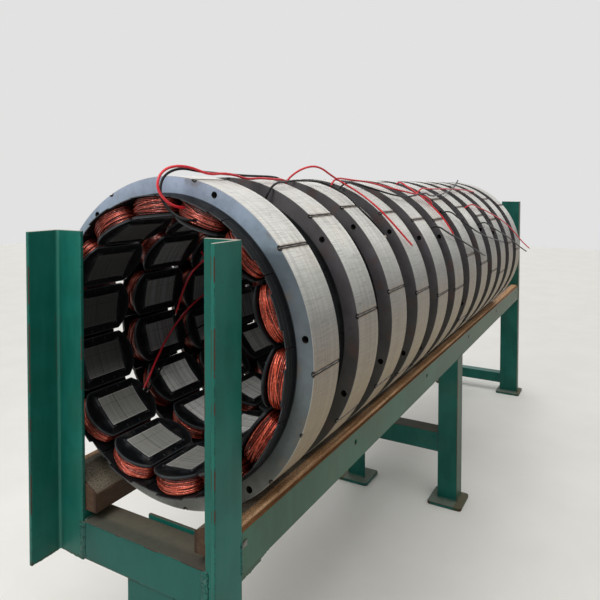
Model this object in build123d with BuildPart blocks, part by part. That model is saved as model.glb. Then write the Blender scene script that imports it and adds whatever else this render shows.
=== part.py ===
"""Row of wound stator rings on a painted steel rack.

Twelve alike laminated rings with inward teeth, each tooth with its own wound
bobbin, lie in a row on two timber bearers. The bearers lie in the angle irons
of a welded rack. Lengths are millimetres. +Y runs along the row, +X to the
right as seen from the front, +Z up, and the feet stand on z = 0.
"""

import os
from math import atan2, cos, degrees, pi, radians, sin, sqrt, tan

from build123d import *

os.makedirs("parts", exist_ok=True)

# Stator rings
ring_count = 12
core_outer_radius = 440.0
core_length = 133.0
yoke_thickness = 46.0
tooth_height = 62.0
tooth_count = 14
tooth_width = 88.0
ring_pitch = 247.5
first_gap_extra = 11.0
first_tooth_angle = 19.4
bolt_hole_count = 6
bolt_hole_radius = 9.0
bolt_circle_inset = 19.0
first_bolt_angle = 21.7
seam_count = 9
seam_width = 7.0
seam_depth = 2.5
first_seam_angle = 12.3
# how far each ring is turned clockwise from the first one, seen from the front
ring_turns = [0, 29, 25.5, 31, 37.5, 39.5, 24.5, 33, 42, 47, 28, 36]

# Bobbins and windings
bobbin_wall = 3.0
fit_gap = 0.3
inner_flange_thickness = 7.0
inner_flange_width = 143.0
inner_flange_reach = 52.0
inner_flange_corner_reach = 16.0
outer_flange_thickness = 6.0
outer_flange_joint = 4.0
outer_flange_reach = 40.0
outer_flange_tab_reach = 49.0
outer_flange_tab_share = 0.5
winding_thickness = 23.0
winding_end_thickness = 38.0
winding_side_half_length = 74.0

# Rack
axis_height = 1232.0
rack_half_width = 307.0
angle_leg = 100.0
angle_thickness = 10.0
timber_width = 130.0
timber_height = 100.0
timber_seat_width = 85.0
timber_seat_angle = 29.0
post_front_y = -106.0
post_top_height = 1526.0
cross_member_drop = 16.0
mid_leg_y = 1826.0
mid_beam_top_height = 356.0
far_post_y = 3683.0
far_post_face = 130.0
far_post_flange = 65.0
far_beam_leg = 75.0
far_beam_thickness = 8.0
far_beam_top_height = 146.0
front_leg_width = 155.0
front_leg_thickness = 9.0
front_leg_x = 25.0
front_leg_back_width = 182.0
front_leg_back_rise = 11.0
foot_side = 175.0
foot_thickness = 15.0
foot_corner = 15.0
front_foot_width = 200.0
rail_hole_radius = 9.0
rail_hole_drop = 35.0
rail_hole_pitch = 760.0
first_rail_hole_y = 538.0

# Lead wires
lead_radius = 3.5
bend_share = 0.45

# What follows from the sizes above
yoke_inner_radius = core_outer_radius - yoke_thickness
tooth_tip_radius = yoke_inner_radius - tooth_height
bolt_circle_radius = core_outer_radius - bolt_circle_inset
timber_inner_x = rack_half_width - angle_thickness - timber_width
timber_seat_outer_x = timber_inner_x + timber_seat_width
seat_tangent_height = axis_height - (core_outer_radius + fit_gap) / cos(radians(timber_seat_angle))
timber_top = seat_tangent_height + timber_seat_outer_x * tan(radians(timber_seat_angle))
timber_inner_top = seat_tangent_height + timber_inner_x * tan(radians(timber_seat_angle))
rail_bottom = timber_top - timber_height - angle_thickness
cross_member_top_height = rail_bottom - cross_member_drop
rail_start_y = post_front_y + angle_thickness
rail_length = far_post_y - rail_start_y
row_front_y = post_front_y + angle_thickness - angle_leg
row_back_y = far_post_y + far_post_flange / 2 + foot_side / 2
row_centre_y = (row_front_y + row_back_y) / 2
tooth_step = 360.0 / tooth_count


def ring_front(index):
    """Place of a ring's front face along the row."""
    first_gap = first_gap_extra if index > 0 else 0.0
    return index * ring_pitch + first_gap


def centred(y):
    """Move a place along the row so that the whole part is centred."""
    return y - row_centre_y


def clock_place(radius, angle):
    """Place in a ring's section, at a clock angle as seen from the front."""
    turn = radians(angle)
    return Location((-radius * sin(turn), radius * cos(turn)), angle)


def tooth_plane(number):
    """Plane through a ring's centre that looks out along one tooth."""
    turn = radians(first_tooth_angle + number * tooth_step)
    return Plane(origin=(0, 0, 0), x_dir=(0, 1, 0), z_dir=(sin(turn), 0, cos(turn)))


def ring_plane(y):
    """Plane of a ring's section that looks along +Y, y from the ring's middle."""
    return Plane(origin=(0, y, 0), x_dir=(-1, 0, 0), z_dir=(0, 1, 0))


def face_plane(y):
    """Plane of a section across the row that looks along +Y."""
    return Plane(origin=(0, centred(y), 0), x_dir=(-1, 0, 0), z_dir=(0, 1, 0))


def crescent_end(half_length, corner_reach, reach, half_width):
    """Closed outline with straight sides and two bowed ends."""
    corner = half_length + corner_reach
    crown = half_length + reach
    Line((-corner, -half_width), (corner, -half_width))
    ThreePointArc((corner, -half_width), (crown, 0), (corner, half_width))
    Line((corner, half_width), (-corner, half_width))
    ThreePointArc((-corner, half_width), (-crown, 0), (-corner, -half_width))


# One laminated core with its teeth, bolt holes and welded seams
tooth_root_radius = (yoke_inner_radius + core_outer_radius) / 2
tooth_foot_radius = tooth_tip_radius - tooth_width / 10
with BuildPart() as core:
    with BuildSketch(ring_plane(-core_length / 2)):
        Circle(core_outer_radius)
        Circle(yoke_inner_radius, mode=Mode.SUBTRACT)
        for number in range(tooth_count):
            angle = first_tooth_angle + number * tooth_step
            with Locations(clock_place((tooth_root_radius + tooth_foot_radius) / 2, angle)):
                Rectangle(tooth_width, tooth_root_radius - tooth_foot_radius)
        Circle(tooth_tip_radius, mode=Mode.SUBTRACT)
        for number in range(bolt_hole_count):
            angle = first_bolt_angle + number * 360 / bolt_hole_count
            with Locations(clock_place(bolt_circle_radius, angle)):
                Circle(bolt_hole_radius, mode=Mode.SUBTRACT)
        for number in range(seam_count):
            angle = first_seam_angle + number * 360 / seam_count
            with Locations(clock_place(core_outer_radius, angle)):
                Rectangle(seam_width, 2 * seam_depth, mode=Mode.SUBTRACT)
    extrude(amount=core_length)

# One set of bobbins, a bobbin on every tooth
tube_half_width = tooth_width / 2 + fit_gap + bobbin_wall
tube_half_length = core_length / 2 + fit_gap + bobbin_wall
outer_flange_radius = yoke_inner_radius - fit_gap
outer_flange_inner = outer_flange_radius - outer_flange_thickness
inner_flange_outer = tooth_tip_radius + inner_flange_thickness
joint_half_angle = degrees(outer_flange_joint / 2 / outer_flange_radius)
flange_sweep = tooth_step - 2 * joint_half_angle

tab_sweep = flange_sweep * outer_flange_tab_share


def arc_block(inner_radius, outer_radius, start, sweep_angle):
    """Closed outline between two arcs round the ring's axis."""
    outer = CenterArc((0, 0), outer_radius, start, sweep_angle)
    inner = CenterArc((0, 0), inner_radius, start, sweep_angle)
    Line(outer @ 0, inner @ 0)
    Line(outer @ 1, inner @ 1)


with BuildPart() as bobbins:
    # flanges at the yoke, curved with it
    with BuildSketch(ring_plane(-core_length / 2 - outer_flange_tab_reach)):
        for number in range(tooth_count):
            start = 90 + first_tooth_angle + number * tooth_step - flange_sweep / 2
            with BuildLine():
                arc_block(outer_flange_inner, outer_flange_radius, start, flange_sweep)
            make_face()
    extrude(amount=core_length + 2 * outer_flange_tab_reach)
    # each stands out further in its middle, so the rest is cut back
    for end in (-1, 1):
        with BuildSketch(ring_plane(end * (core_length / 2 + outer_flange_reach))):
            for number in range(tooth_count):
                start = 90 + first_tooth_angle + number * tooth_step + tab_sweep / 2
                with BuildLine():
                    arc_block(
                        outer_flange_inner - outer_flange_thickness,
                        outer_flange_radius + outer_flange_thickness,
                        start,
                        tooth_step - tab_sweep,
                    )
                make_face()
        extrude(amount=end * outer_flange_tab_reach, mode=Mode.SUBTRACT)
    for number in range(tooth_count):
        # flange at the tooth tip, with bowed ends
        with BuildSketch(tooth_plane(number).offset(tooth_tip_radius)):
            with BuildLine():
                crescent_end(
                    core_length / 2,
                    inner_flange_corner_reach,
                    inner_flange_reach,
                    inner_flange_width / 2,
                )
            make_face()
        extrude(amount=inner_flange_thickness)
        # tube between the flanges, open where the tooth goes through
        with BuildSketch(tooth_plane(number).offset(tooth_tip_radius)):
            Rectangle(2 * tube_half_length, 2 * tube_half_width)
        extrude(amount=outer_flange_inner - tooth_tip_radius + outer_flange_thickness / 2)
    for number in range(tooth_count):
        with BuildSketch(tooth_plane(number).offset(tooth_tip_radius)):
            Rectangle(core_length + 2 * fit_gap, tooth_width + 2 * fit_gap)
        extrude(amount=tooth_root_radius - tooth_tip_radius, mode=Mode.SUBTRACT)

# One set of windings, a winding round every bobbin
winding_half_width = tube_half_width + fit_gap + winding_thickness
winding_end = tube_half_length + fit_gap + winding_end_thickness
winding_outer_radius = sqrt((outer_flange_inner - fit_gap) ** 2 - winding_half_width**2)
winding_inner_radius = inner_flange_outer + fit_gap

with BuildPart() as windings:
    for number in range(tooth_count):
        with BuildSketch(tooth_plane(number).offset(winding_inner_radius)):
            with BuildLine():
                crescent_end(
                    winding_side_half_length,
                    0,
                    winding_end - winding_side_half_length,
                    winding_half_width,
                )
            make_face()
            Rectangle(
                2 * (tube_half_length + fit_gap),
                2 * (tube_half_width + fit_gap),
                mode=Mode.SUBTRACT,
            )
        extrude(amount=winding_outer_radius - winding_inner_radius)

# The row: every ring is the same, moved along the row and turned
ring_places = []
for index in range(ring_count):
    middle = centred(ring_front(index)) + core_length / 2
    ring_places.append(Location((0, middle, axis_height), (0, ring_turns[index], 0)))

for index in range(ring_count):
    with BuildPart() as ring_core:
        with Locations(ring_places[index]):
            add(core.part)
    ring_core.part.label = f"stator_core_{index + 1:02d}"
    export_step(ring_core.part, f"parts/stator_core_{index + 1:02d}.step")

# Bobbins and windings of the front, middle and rear thirds of the row
third = ring_count // 3
for third_name, first in (("front", 0), ("middle", third), ("rear", 2 * third)):
    last = ring_count if third_name == "rear" else first + third
    for name, piece in (("coil_bobbins", bobbins), ("windings", windings)):
        with BuildPart() as coil_group:
            with Locations(ring_places[first:last]):
                add(piece.part)
        coil_group.part.label = f"{name}_{third_name}"
        export_step(coil_group.part, f"parts/{name}_{third_name}.step")

# Lead wires. Each route is a list of places along the row, clock angle and
# height over the rings' outer faces. It starts square to the coil it leaves.
on_flange = outer_flange_radius + fit_gap - core_outer_radius
in_bore = tooth_tip_radius - fit_gap - core_outer_radius
winding_bow = winding_end - winding_side_half_length
winding_end_radius = (winding_half_width**2 + winding_bow**2) / (2 * winding_bow)


def off_winding(angle, height):
    """Place along the row where a lead leaves the bowed end of the first winding."""
    across = (core_outer_radius + height) * sin(radians(angle - first_tooth_angle))
    beside = sqrt(winding_end_radius**2 - across**2)
    end = winding_end - winding_end_radius + beside
    return core_length / 2 - end - fit_gap - lead_radius * abs(across) / beside


lead_routes = {
    "red_lead_1": [
        (off_winding(14.2, -69), 14.2, -69), (-74, 14.2, -69), (-112, 10.6, -38), (-112, 9.3, 0),
        (-82, 9.6, 28), (-30, 11.8, 34), (26, 14.9, 18), (80, 15.2, 24),
        (140, 15.4, 20), (196, 15.3, 9), (262, 15.8, 14), (330, 16.2, 12),
        (392, 15.9, 12), (426, 15.4, -6), (426, 15.4, on_flange),
    ],
    "black_lead_1": [
        (off_winding(21.6, -86), 21.6, -86), (-62, 21.6, -86), (-76, 16.8, -88), (-84, 10.2, -66),
        (-90, 8, -32), (-74, 7.4, 6), (-28, 8.6, 26), (30, 11, 19),
        (90, 12.2, 18), (155, 12.4, 16), (222, 12.4, 14), (290, 12.6, 14),
        (355, 12.9, 14), (402, 13.1, 10), (430, 12.8, -8), (430, 12.8, on_flange),
    ],
    "red_lead_2": [
        (472, 10.5, on_flange), (472, 10.5, -6), (492, 14, 38), (530, 17, 63),
        (585, 18.2, 60), (645, 19.4, 40), (700, 22.8, 22), (728, 30, 15),
        (730, 39, 14), (740, 48, 13), (762, 56.5, 13), (800, 62.5, 12),
    ],
    "black_lead_2": [
        (236, 22.5, on_flange), (236, 22.5, -8), (268, 22, 17), (330, 20.8, 15),
        (395, 19.8, 18), (460, 19, 16), (530, 18.6, 15), (592, 20.4, 14),
        (614, 27, 13), (600, 34.4, 13), (582, 41.5, 13), (594, 48.5, 13),
        (612, 55.5, 12),
    ],
    "red_lead_3": [
        (734, 15.6, on_flange), (734, 15.6, -6), (768, 15.4, 20), (835, 15.3, 18),
        (905, 16.4, 15), (975, 18.8, 17), (1040, 22, 15), (1100, 25.6, 14),
        (1160, 29, 15), (1222, 32, 17), (1284, 35.4, 22), (1345, 39.4, 28),
        (1406, 42.6, -4), (1406, 42.6, on_flange),
    ],
    "black_lead_3": [
        (724, 20.8, on_flange), (724, 20.8, -6), (762, 21.2, 20), (826, 22.2, 16),
        (888, 25.4, 15), (945, 29.8, 15), (1010, 33.2, 15), (1080, 35, 15),
        (1150, 35.8, 17), (1220, 36.1, 24), (1290, 36.3, 36), (1360, 36.2, 34),
        (1430, 36, 20), (1505, 36, 15), (1580, 35.4, 15), (1660, 34.7, 15),
        (1740, 33.7, 15), (1820, 32.6, 15), (1900, 31.5, 17), (1975, 30.2, 24),
        (2040, 28.7, 32), (2100, 27.1, 43), (2155, 25.6, 55),
    ],
    "red_lead_4": [
        (1404, 16, on_flange), (1404, 16, -6), (1378, 18.4, 20), (1352, 24.5, 16),
        (1342, 32, 14), (1338, 40, 12), (1345, 48, 12), (1352, 55.5, 12),
        (1360, 62.5, 10),
    ],
    "red_lead_5": [
        (1474, 27.2, on_flange), (1474, 27.2, -6), (1508, 27.6, 18), (1585, 28.2, 15),
        (1665, 28.4, 16), (1745, 28.3, 14), (1830, 28.1, 15), (1915, 28.3, 14),
        (2000, 28.7, 14), (2085, 29, 15), (2170, 29.7, 14), (2250, 30.4, 15),
        (2330, 31.6, 14), (2400, 33, 12),
    ],
    "black_lead_4": [
        (1152, 55.2, on_flange), (1152, 55.2, -6), (1186, 57, 20), (1250, 60, 16),
        (1320, 63.2, 14), (1390, 66, 15), (1460, 69, 15), (1530, 71.7, 15),
        (1600, 74.6, 14), (1670, 77, 14), (1735, 79.3, 12), (1795, 80.8, 10),
    ],
    "black_lead_5": [
        (1464, 46.8, on_flange), (1464, 46.8, -6), (1500, 49.4, 20), (1555, 53.6, 16),
        (1615, 57.8, 15), (1680, 61.4, 15), (1750, 64.9, 15), (1825, 67.4, 15),
        (1905, 69.8, 15), (1985, 71.4, 15), (2065, 73.2, 15), (2145, 74.7, 15),
        (2225, 76.4, 14), (2300, 77.7, 12),
    ],
    "red_lead_6": [
        (1968, 45, on_flange), (1968, 45, -6), (2004, 46, 20), (2070, 48.2, 16),
        (2140, 50.4, 15), (2210, 53, 15), (2280, 55.4, 15), (2350, 58.3, 15),
        (2420, 61, 15), (2490, 64.1, 15), (2555, 67.4, 16), (2615, 71.2, 18),
        (2665, 75.6, 24), (2702, 79.8, 34), (2730, 83.6, 50), (2750, 87, 74),
    ],
    "black_lead_6": [
        (1964, 59.6, on_flange), (1964, 59.6, -6), (2000, 60.8, 20), (2065, 63.2, 16),
        (2135, 65.6, 15), (2205, 68.2, 15), (2280, 70.4, 15), (2360, 72.9, 15),
        (2440, 75.2, 15), (2520, 78.4, 16), (2595, 81.3, 19), (2660, 84.3, 26),
        (2715, 87, 38), (2760, 89.6, 56),
    ],
    "red_lead_7": [
        (490, -57.96, in_bore), (490, -57.96, -142), (478, -64.5, -130), (458, -71, -122),
        (440, -79, -120), (420, -87.5, -120), (396, -96, -119),
    ],
    "red_lead_8": [
        (662, -83.67, in_bore), (662, -83.67, -142), (608, -85.4, -133), (548, -88.2, -126),
        (486, -92.5, -124), (428, -97.8, -122), (376, -103.6, -121), (326, -109.6, -120),
        (280, -115.8, -120), (236, -121.6, -120), (196, -127.2, -120), (160, -131.4, -119),
    ],
    "black_lead_7": [
        (662, -109.39, in_bore), (662, -109.39, -142), (606, -108, -133), (546, -107.8, -126),
        (486, -109, -124), (426, -111.2, -122), (368, -115, -121), (312, -119.6, -120),
        (260, -124.6, -120), (212, -129.4, -120), (168, -133.6, -119),
    ],
}


def lead_point(y, angle, height):
    """Point of a lead's route."""
    turn = radians(angle)
    radius = core_outer_radius + height
    return Vector(radius * sin(turn), centred(y), axis_height + radius * cos(turn))


def bend_radii(points):
    """Radius of each bend: as large as its two straight runs allow."""
    radii = []
    for before, corner, after in zip(points, points[1:], points[2:]):
        turn = (corner - before).get_angle(after - corner)
        shorter_run = min((corner - before).length, (after - corner).length)
        radii.append(bend_share * shorter_run / tan(radians(turn) / 2))
    return radii


for name, route in lead_routes.items():
    points = [lead_point(*place) for place in route]
    radii = bend_radii(points)
    with BuildPart() as lead:
        with BuildLine() as path:
            FilletPolyline(*points, radius=radii)
        with BuildSketch(Plane(origin=path.line @ 0, z_dir=path.line % 0)):
            Circle(lead_radius)
        sweep()
    lead.part.label = name
    export_step(lead.part, f"parts/{name}.step")
    length = sum(edge.length for edge in path.line.edges())
    expected = pi * lead_radius**2 * length
    print(
        name,
        "length",
        round(length),
        "volume share",
        round(lead.part.volume / expected, 3),
        "radii",
        [round(radius) for radius in radii],
    )


def angle_outline(heel, leg, thickness, x_sign, y_sign, second_leg=None):
    """Section of an angle iron, drawn from its heel."""
    other = leg if second_leg is None else second_leg
    x, y = heel
    Polyline(
        (x, y),
        (x + x_sign * leg, y),
        (x + x_sign * leg, y + y_sign * thickness),
        (x + x_sign * thickness, y + y_sign * thickness),
        (x + x_sign * thickness, y + y_sign * other),
        (x, y + y_sign * other),
        close=True,
    )


def upright_angle(heel, bottom, top, x_sign, y_sign, leg, thickness, second_leg=None):
    """Angle iron that stands up, with its heel at a point of the plan."""
    with BuildPart() as upright:
        with BuildSketch(Plane.XY.offset(bottom)):
            with BuildLine():
                place = (heel[0], centred(heel[1]))
                angle_outline(place, leg, thickness, x_sign, y_sign, second_leg)
            make_face()
        extrude(amount=top - bottom)
    return upright.part


# Angle iron rails with bolt holes in their standing legs, and timber bearers
for side, sign in (("left", -1), ("right", 1)):
    with BuildPart() as rail:
        with BuildSketch(face_plane(rail_start_y)):
            with BuildLine():
                heel = (-sign * rack_half_width, rail_bottom)
                angle_outline(heel, angle_leg, angle_thickness, sign, 1)
            make_face()
        extrude(amount=rail_length)
        hole_plane = Plane(
            origin=(sign * rack_half_width, 0, rail_bottom + angle_leg - rail_hole_drop),
            x_dir=(0, 1, 0),
            z_dir=(sign, 0, 0),
        )
        with BuildSketch(hole_plane):
            place = first_rail_hole_y
            while place < far_post_y - rail_hole_drop:
                with Locations((centred(place), 0)):
                    Circle(rail_hole_radius)
                place += rail_hole_pitch
        extrude(amount=-angle_thickness, mode=Mode.SUBTRACT)
    rail.part.label = f"rail_{side}"
    export_step(rail.part, f"parts/rail_{side}.step")

    # the bearer's top slopes towards the row, so that the rings rest on a face
    with BuildPart() as timber:
        with BuildSketch(face_plane(rail_start_y)):
            with BuildLine():
                Polyline(
                    (-sign * timber_inner_x, timber_top - timber_height),
                    (-sign * timber_inner_x, timber_inner_top),
                    (-sign * timber_seat_outer_x, timber_top),
                    (-sign * (timber_inner_x + timber_width), timber_top),
                    (-sign * (timber_inner_x + timber_width), timber_top - timber_height),
                    close=True,
                )
            make_face()
        extrude(amount=rail_length)
    timber.part.label = f"timber_{side}"
    export_step(timber.part, f"parts/timber_{side}.step")

    # Front post, with one flange across the row and one pointing forward
    heel = (sign * rack_half_width, post_front_y + angle_thickness)
    bottom = cross_member_top_height - angle_leg
    post = upright_angle(heel, bottom, post_top_height, -sign, -1, angle_leg, angle_thickness)
    post.label = f"front_post_{side}"
    export_step(post, f"parts/front_post_{side}.step")

    # Middle leg, heel to the outside at the front
    heel = (sign * rack_half_width, mid_leg_y)
    leg = upright_angle(heel, foot_thickness, rail_bottom, -sign, 1, angle_leg, angle_thickness)
    leg.label = f"mid_leg_{side}"
    export_step(leg, f"parts/mid_leg_{side}.step")

    # Far post, from the floor to the height of the front posts
    heel = (sign * rack_half_width, far_post_y)
    post = upright_angle(
        heel,
        foot_thickness,
        post_top_height,
        -sign,
        1,
        far_post_face,
        angle_thickness,
        far_post_flange,
    )
    post.label = f"far_post_{side}"
    export_step(post, f"parts/far_post_{side}.step")


def lying_angle(half_span, front, top, leg, thickness):
    """Angle iron across the row: web to the front, top leg pointing back."""
    section = Plane(origin=(-half_span, centred(front), top), x_dir=(0, 1, 0), z_dir=(1, 0, 0))
    with BuildPart() as beam:
        with BuildSketch(section):
            with BuildLine():
                angle_outline((0, 0), leg, thickness, 1, -1)
            make_face()
        extrude(amount=2 * half_span)
    return beam.part


# Cross member between the front posts
cross_half_span = rack_half_width - angle_leg
beam = lying_angle(
    cross_half_span, post_front_y, cross_member_top_height, angle_leg, angle_thickness
)
beam.label = "front_cross_member"
export_step(beam, "parts/front_cross_member.step")

# Cross beam between the middle legs
beam = lying_angle(cross_half_span, mid_leg_y, mid_beam_top_height, angle_leg, angle_thickness)
beam.label = "mid_cross_beam"
export_step(beam, "parts/mid_cross_beam.step")

# Low beam between the far posts
beam = lying_angle(
    rack_half_width - far_post_face,
    far_post_y,
    far_beam_top_height,
    far_beam_leg,
    far_beam_thickness,
)
beam.label = "far_cross_beam"
export_step(beam, "parts/far_cross_beam.step")

# Front leg: a flanged section inside the front cross member, and a wider
# plate behind it that stands a little higher than the cross member's top
front_leg_y = post_front_y + angle_thickness
front_leg_back_y = post_front_y + angle_leg
front_leg_top = cross_member_top_height - angle_thickness
leg_depth = front_leg_back_y - front_leg_y
with BuildPart() as front_leg:
    with BuildSketch(Plane.XY.offset(foot_thickness)):
        with Locations((front_leg_x, centred(front_leg_y + front_leg_thickness / 2))):
            Rectangle(front_leg_width, front_leg_thickness)
        with Locations((front_leg_x, centred(front_leg_y + leg_depth / 2))):
            Rectangle(front_leg_thickness, leg_depth)
    extrude(amount=front_leg_top - foot_thickness)
    with BuildSketch(Plane.XY.offset(foot_thickness)):
        with Locations((front_leg_x, centred(front_leg_back_y + front_leg_thickness / 2))):
            Rectangle(front_leg_back_width, front_leg_thickness)
    extrude(amount=cross_member_top_height + front_leg_back_rise - foot_thickness)
front_leg.part.label = "front_leg"
export_step(front_leg.part, "parts/front_leg.step")

# Square foot plates under the five legs
foot_places = [
    (-rack_half_width + angle_leg / 2, mid_leg_y + angle_leg / 4),
    (rack_half_width - angle_leg / 2, mid_leg_y + angle_leg / 4),
    (-rack_half_width + far_post_face / 2, far_post_y + far_post_flange / 2),
    (rack_half_width - far_post_face / 2, far_post_y + far_post_flange / 2),
]
with BuildPart() as foot_plates:
    with BuildSketch(Plane.XY):
        with Locations((front_leg_x, centred(front_leg_y + leg_depth / 2))):
            RectangleRounded(front_foot_width, foot_side, foot_corner)
        for x, y in foot_places:
            with Locations((x, centred(y))):
                RectangleRounded(foot_side, foot_side, foot_corner)
    extrude(amount=foot_thickness)
foot_plates.part.label = "foot_plates"
export_step(foot_plates.part, "parts/foot_plates.step")
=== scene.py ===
# %% [markdown]
# # A row of wound stator rings on a steel rack
#
# Twelve laminated steel rings lie on two timber bearers in a painted rack. Every
# ring carries fourteen copper coils on black bobbins, and loose red and black
# leads run over their tops. The shapes of the steel come from the imported frame.
# This lesson gives each of them its finish and adds what is too fine for it:
# the strands of the coils, the soft line of the leads, weld beads and rust.
#
# The first cell loads the frame and gives a function that reads the box of any
# of its parts. The looks may not make the object larger than the measured one.

from math import atan2, cos, pi, radians, sin, sqrt

import bmesh
import bpy
import numpy as np
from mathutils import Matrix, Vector


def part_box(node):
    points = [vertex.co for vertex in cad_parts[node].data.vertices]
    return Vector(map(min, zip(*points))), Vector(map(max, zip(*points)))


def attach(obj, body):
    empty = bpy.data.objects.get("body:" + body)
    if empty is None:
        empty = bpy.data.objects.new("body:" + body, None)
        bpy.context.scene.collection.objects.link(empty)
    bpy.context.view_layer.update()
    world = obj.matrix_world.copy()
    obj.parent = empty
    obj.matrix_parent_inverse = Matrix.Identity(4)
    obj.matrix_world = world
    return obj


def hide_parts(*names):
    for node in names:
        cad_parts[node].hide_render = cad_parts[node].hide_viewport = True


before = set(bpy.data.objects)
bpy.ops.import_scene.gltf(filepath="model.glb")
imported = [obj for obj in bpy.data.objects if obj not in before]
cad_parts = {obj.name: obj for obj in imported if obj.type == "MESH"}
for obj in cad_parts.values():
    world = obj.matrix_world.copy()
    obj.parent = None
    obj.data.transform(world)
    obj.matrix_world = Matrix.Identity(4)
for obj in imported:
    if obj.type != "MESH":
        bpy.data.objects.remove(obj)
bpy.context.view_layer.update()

# %% [markdown]
# ## Where things are
#
# The row is centred on the origin, so a place that is measured from the front of
# the first ring moves back by the middle of the row. A ring is described with a
# clock angle, which is zero at the top and grows to the right as seen from the
# front, and a radius from its axis. One function turns these three numbers into
# a point, and everything that follows the rings uses it.

# %% Places along the row
AXIS_HEIGHT = 1.232
ROW_MIDDLE = 1.8035
CORE_RADIUS = 0.440
CORE_LENGTH = 0.133
CORE_BORE = 0.394
TOOTH_TIP = 0.332
TOOTH_COUNT = 14
TOOTH_STEP = 360 / TOOTH_COUNT
FIRST_TOOTH = 19.4
SEAM_COUNT = 9
FIRST_SEAM = 12.3
RING_PITCH = 0.2475
RING_TURNS = [0, 29, 25.5, 31, 37.5, 39.5, 24.5, 33, 42, 47, 28, 36]
RING_COUNT = len(RING_TURNS)
FIRST_GAP = 0.011


def ring_middle(number):
    """Place of a ring's middle along the row; the first gap is a little wider."""
    first_gap = FIRST_GAP if number > 0 else 0.0
    return number * RING_PITCH + first_gap + CORE_LENGTH / 2 - ROW_MIDDLE


def on_ring(y, angle, radius):
    """The point at a clock angle and a radius from the rings' axis."""
    turn = radians(angle)
    return Vector((radius * sin(turn), y, AXIS_HEIGHT + radius * cos(turn)))


def into_scene(name, data):
    """A new object with this data, linked to the scene."""
    made = bpy.data.objects.new(name, data)
    bpy.context.scene.collection.objects.link(made)
    return made


print("rings from", round(ring_middle(0), 3), "to", round(ring_middle(RING_COUNT - 1), 3))

# %% [markdown]
# ## The camera
#
# The photograph was taken standing up, from the right of the row's front end. The
# lens looks almost level, so the posts stay upright, and the picture's middle
# lies under the horizon. A vertical shift of the lens does that without
# tilting the camera.

# %% Camera
PICTURE = 600
FOCAL_PIXELS = 585.9
HORIZON_ROW = 203.12
CAMERA_PLACE = (1.0612, -2.9760, 1.6467)
CAMERA_DROP = 1.695
CAMERA_ROLL = -0.12
CAMERA_HEADING = 29.347

camera_data = bpy.data.cameras.new("photo_lens")
camera_data.sensor_fit = "HORIZONTAL"
camera_data.sensor_width = 36.0
camera_data.lens = camera_data.sensor_width * FOCAL_PIXELS / PICTURE
camera_data.shift_y = (HORIZON_ROW - PICTURE / 2) / PICTURE
camera = into_scene("photo_camera", camera_data)
camera.location = CAMERA_PLACE
camera.rotation_euler = (radians(90 - CAMERA_DROP), radians(CAMERA_ROLL), radians(CAMERA_HEADING))
bpy.context.scene.camera = camera
print("lens", round(camera_data.lens, 2), "shift", round(camera_data.shift_y, 3))

# %% [markdown]
# ## The leads
#
# Each coil group ends in a long insulated lead. They are limp wires seven
# millimetres thick that lie over the rings in loose arcs, so each one is a single
# smooth spline through a handful of points rather than a chain of straight
# pieces. A point is a place along the row, a clock angle and a height over the
# rings, all in millimetres and degrees, because that is how a wire lies there.

# %% Routes of the leads
LEAD_DIAMETER = 0.007
# heights where leads start on a flange or in the bore, and places in front of a winding
ON_FLANGE = -46.0
IN_BORE = -108.3
OFF_WINDING_RED = -37.2
OFF_WINDING_BLACK = -41.1
# reach and radius of the three rings of points of a bare tip
TIP_RINGS = ((-0.002, 0.0022), (0.007, 0.0022), (0.0085, 0.0016))
TIP_SIDES = 8

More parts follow.
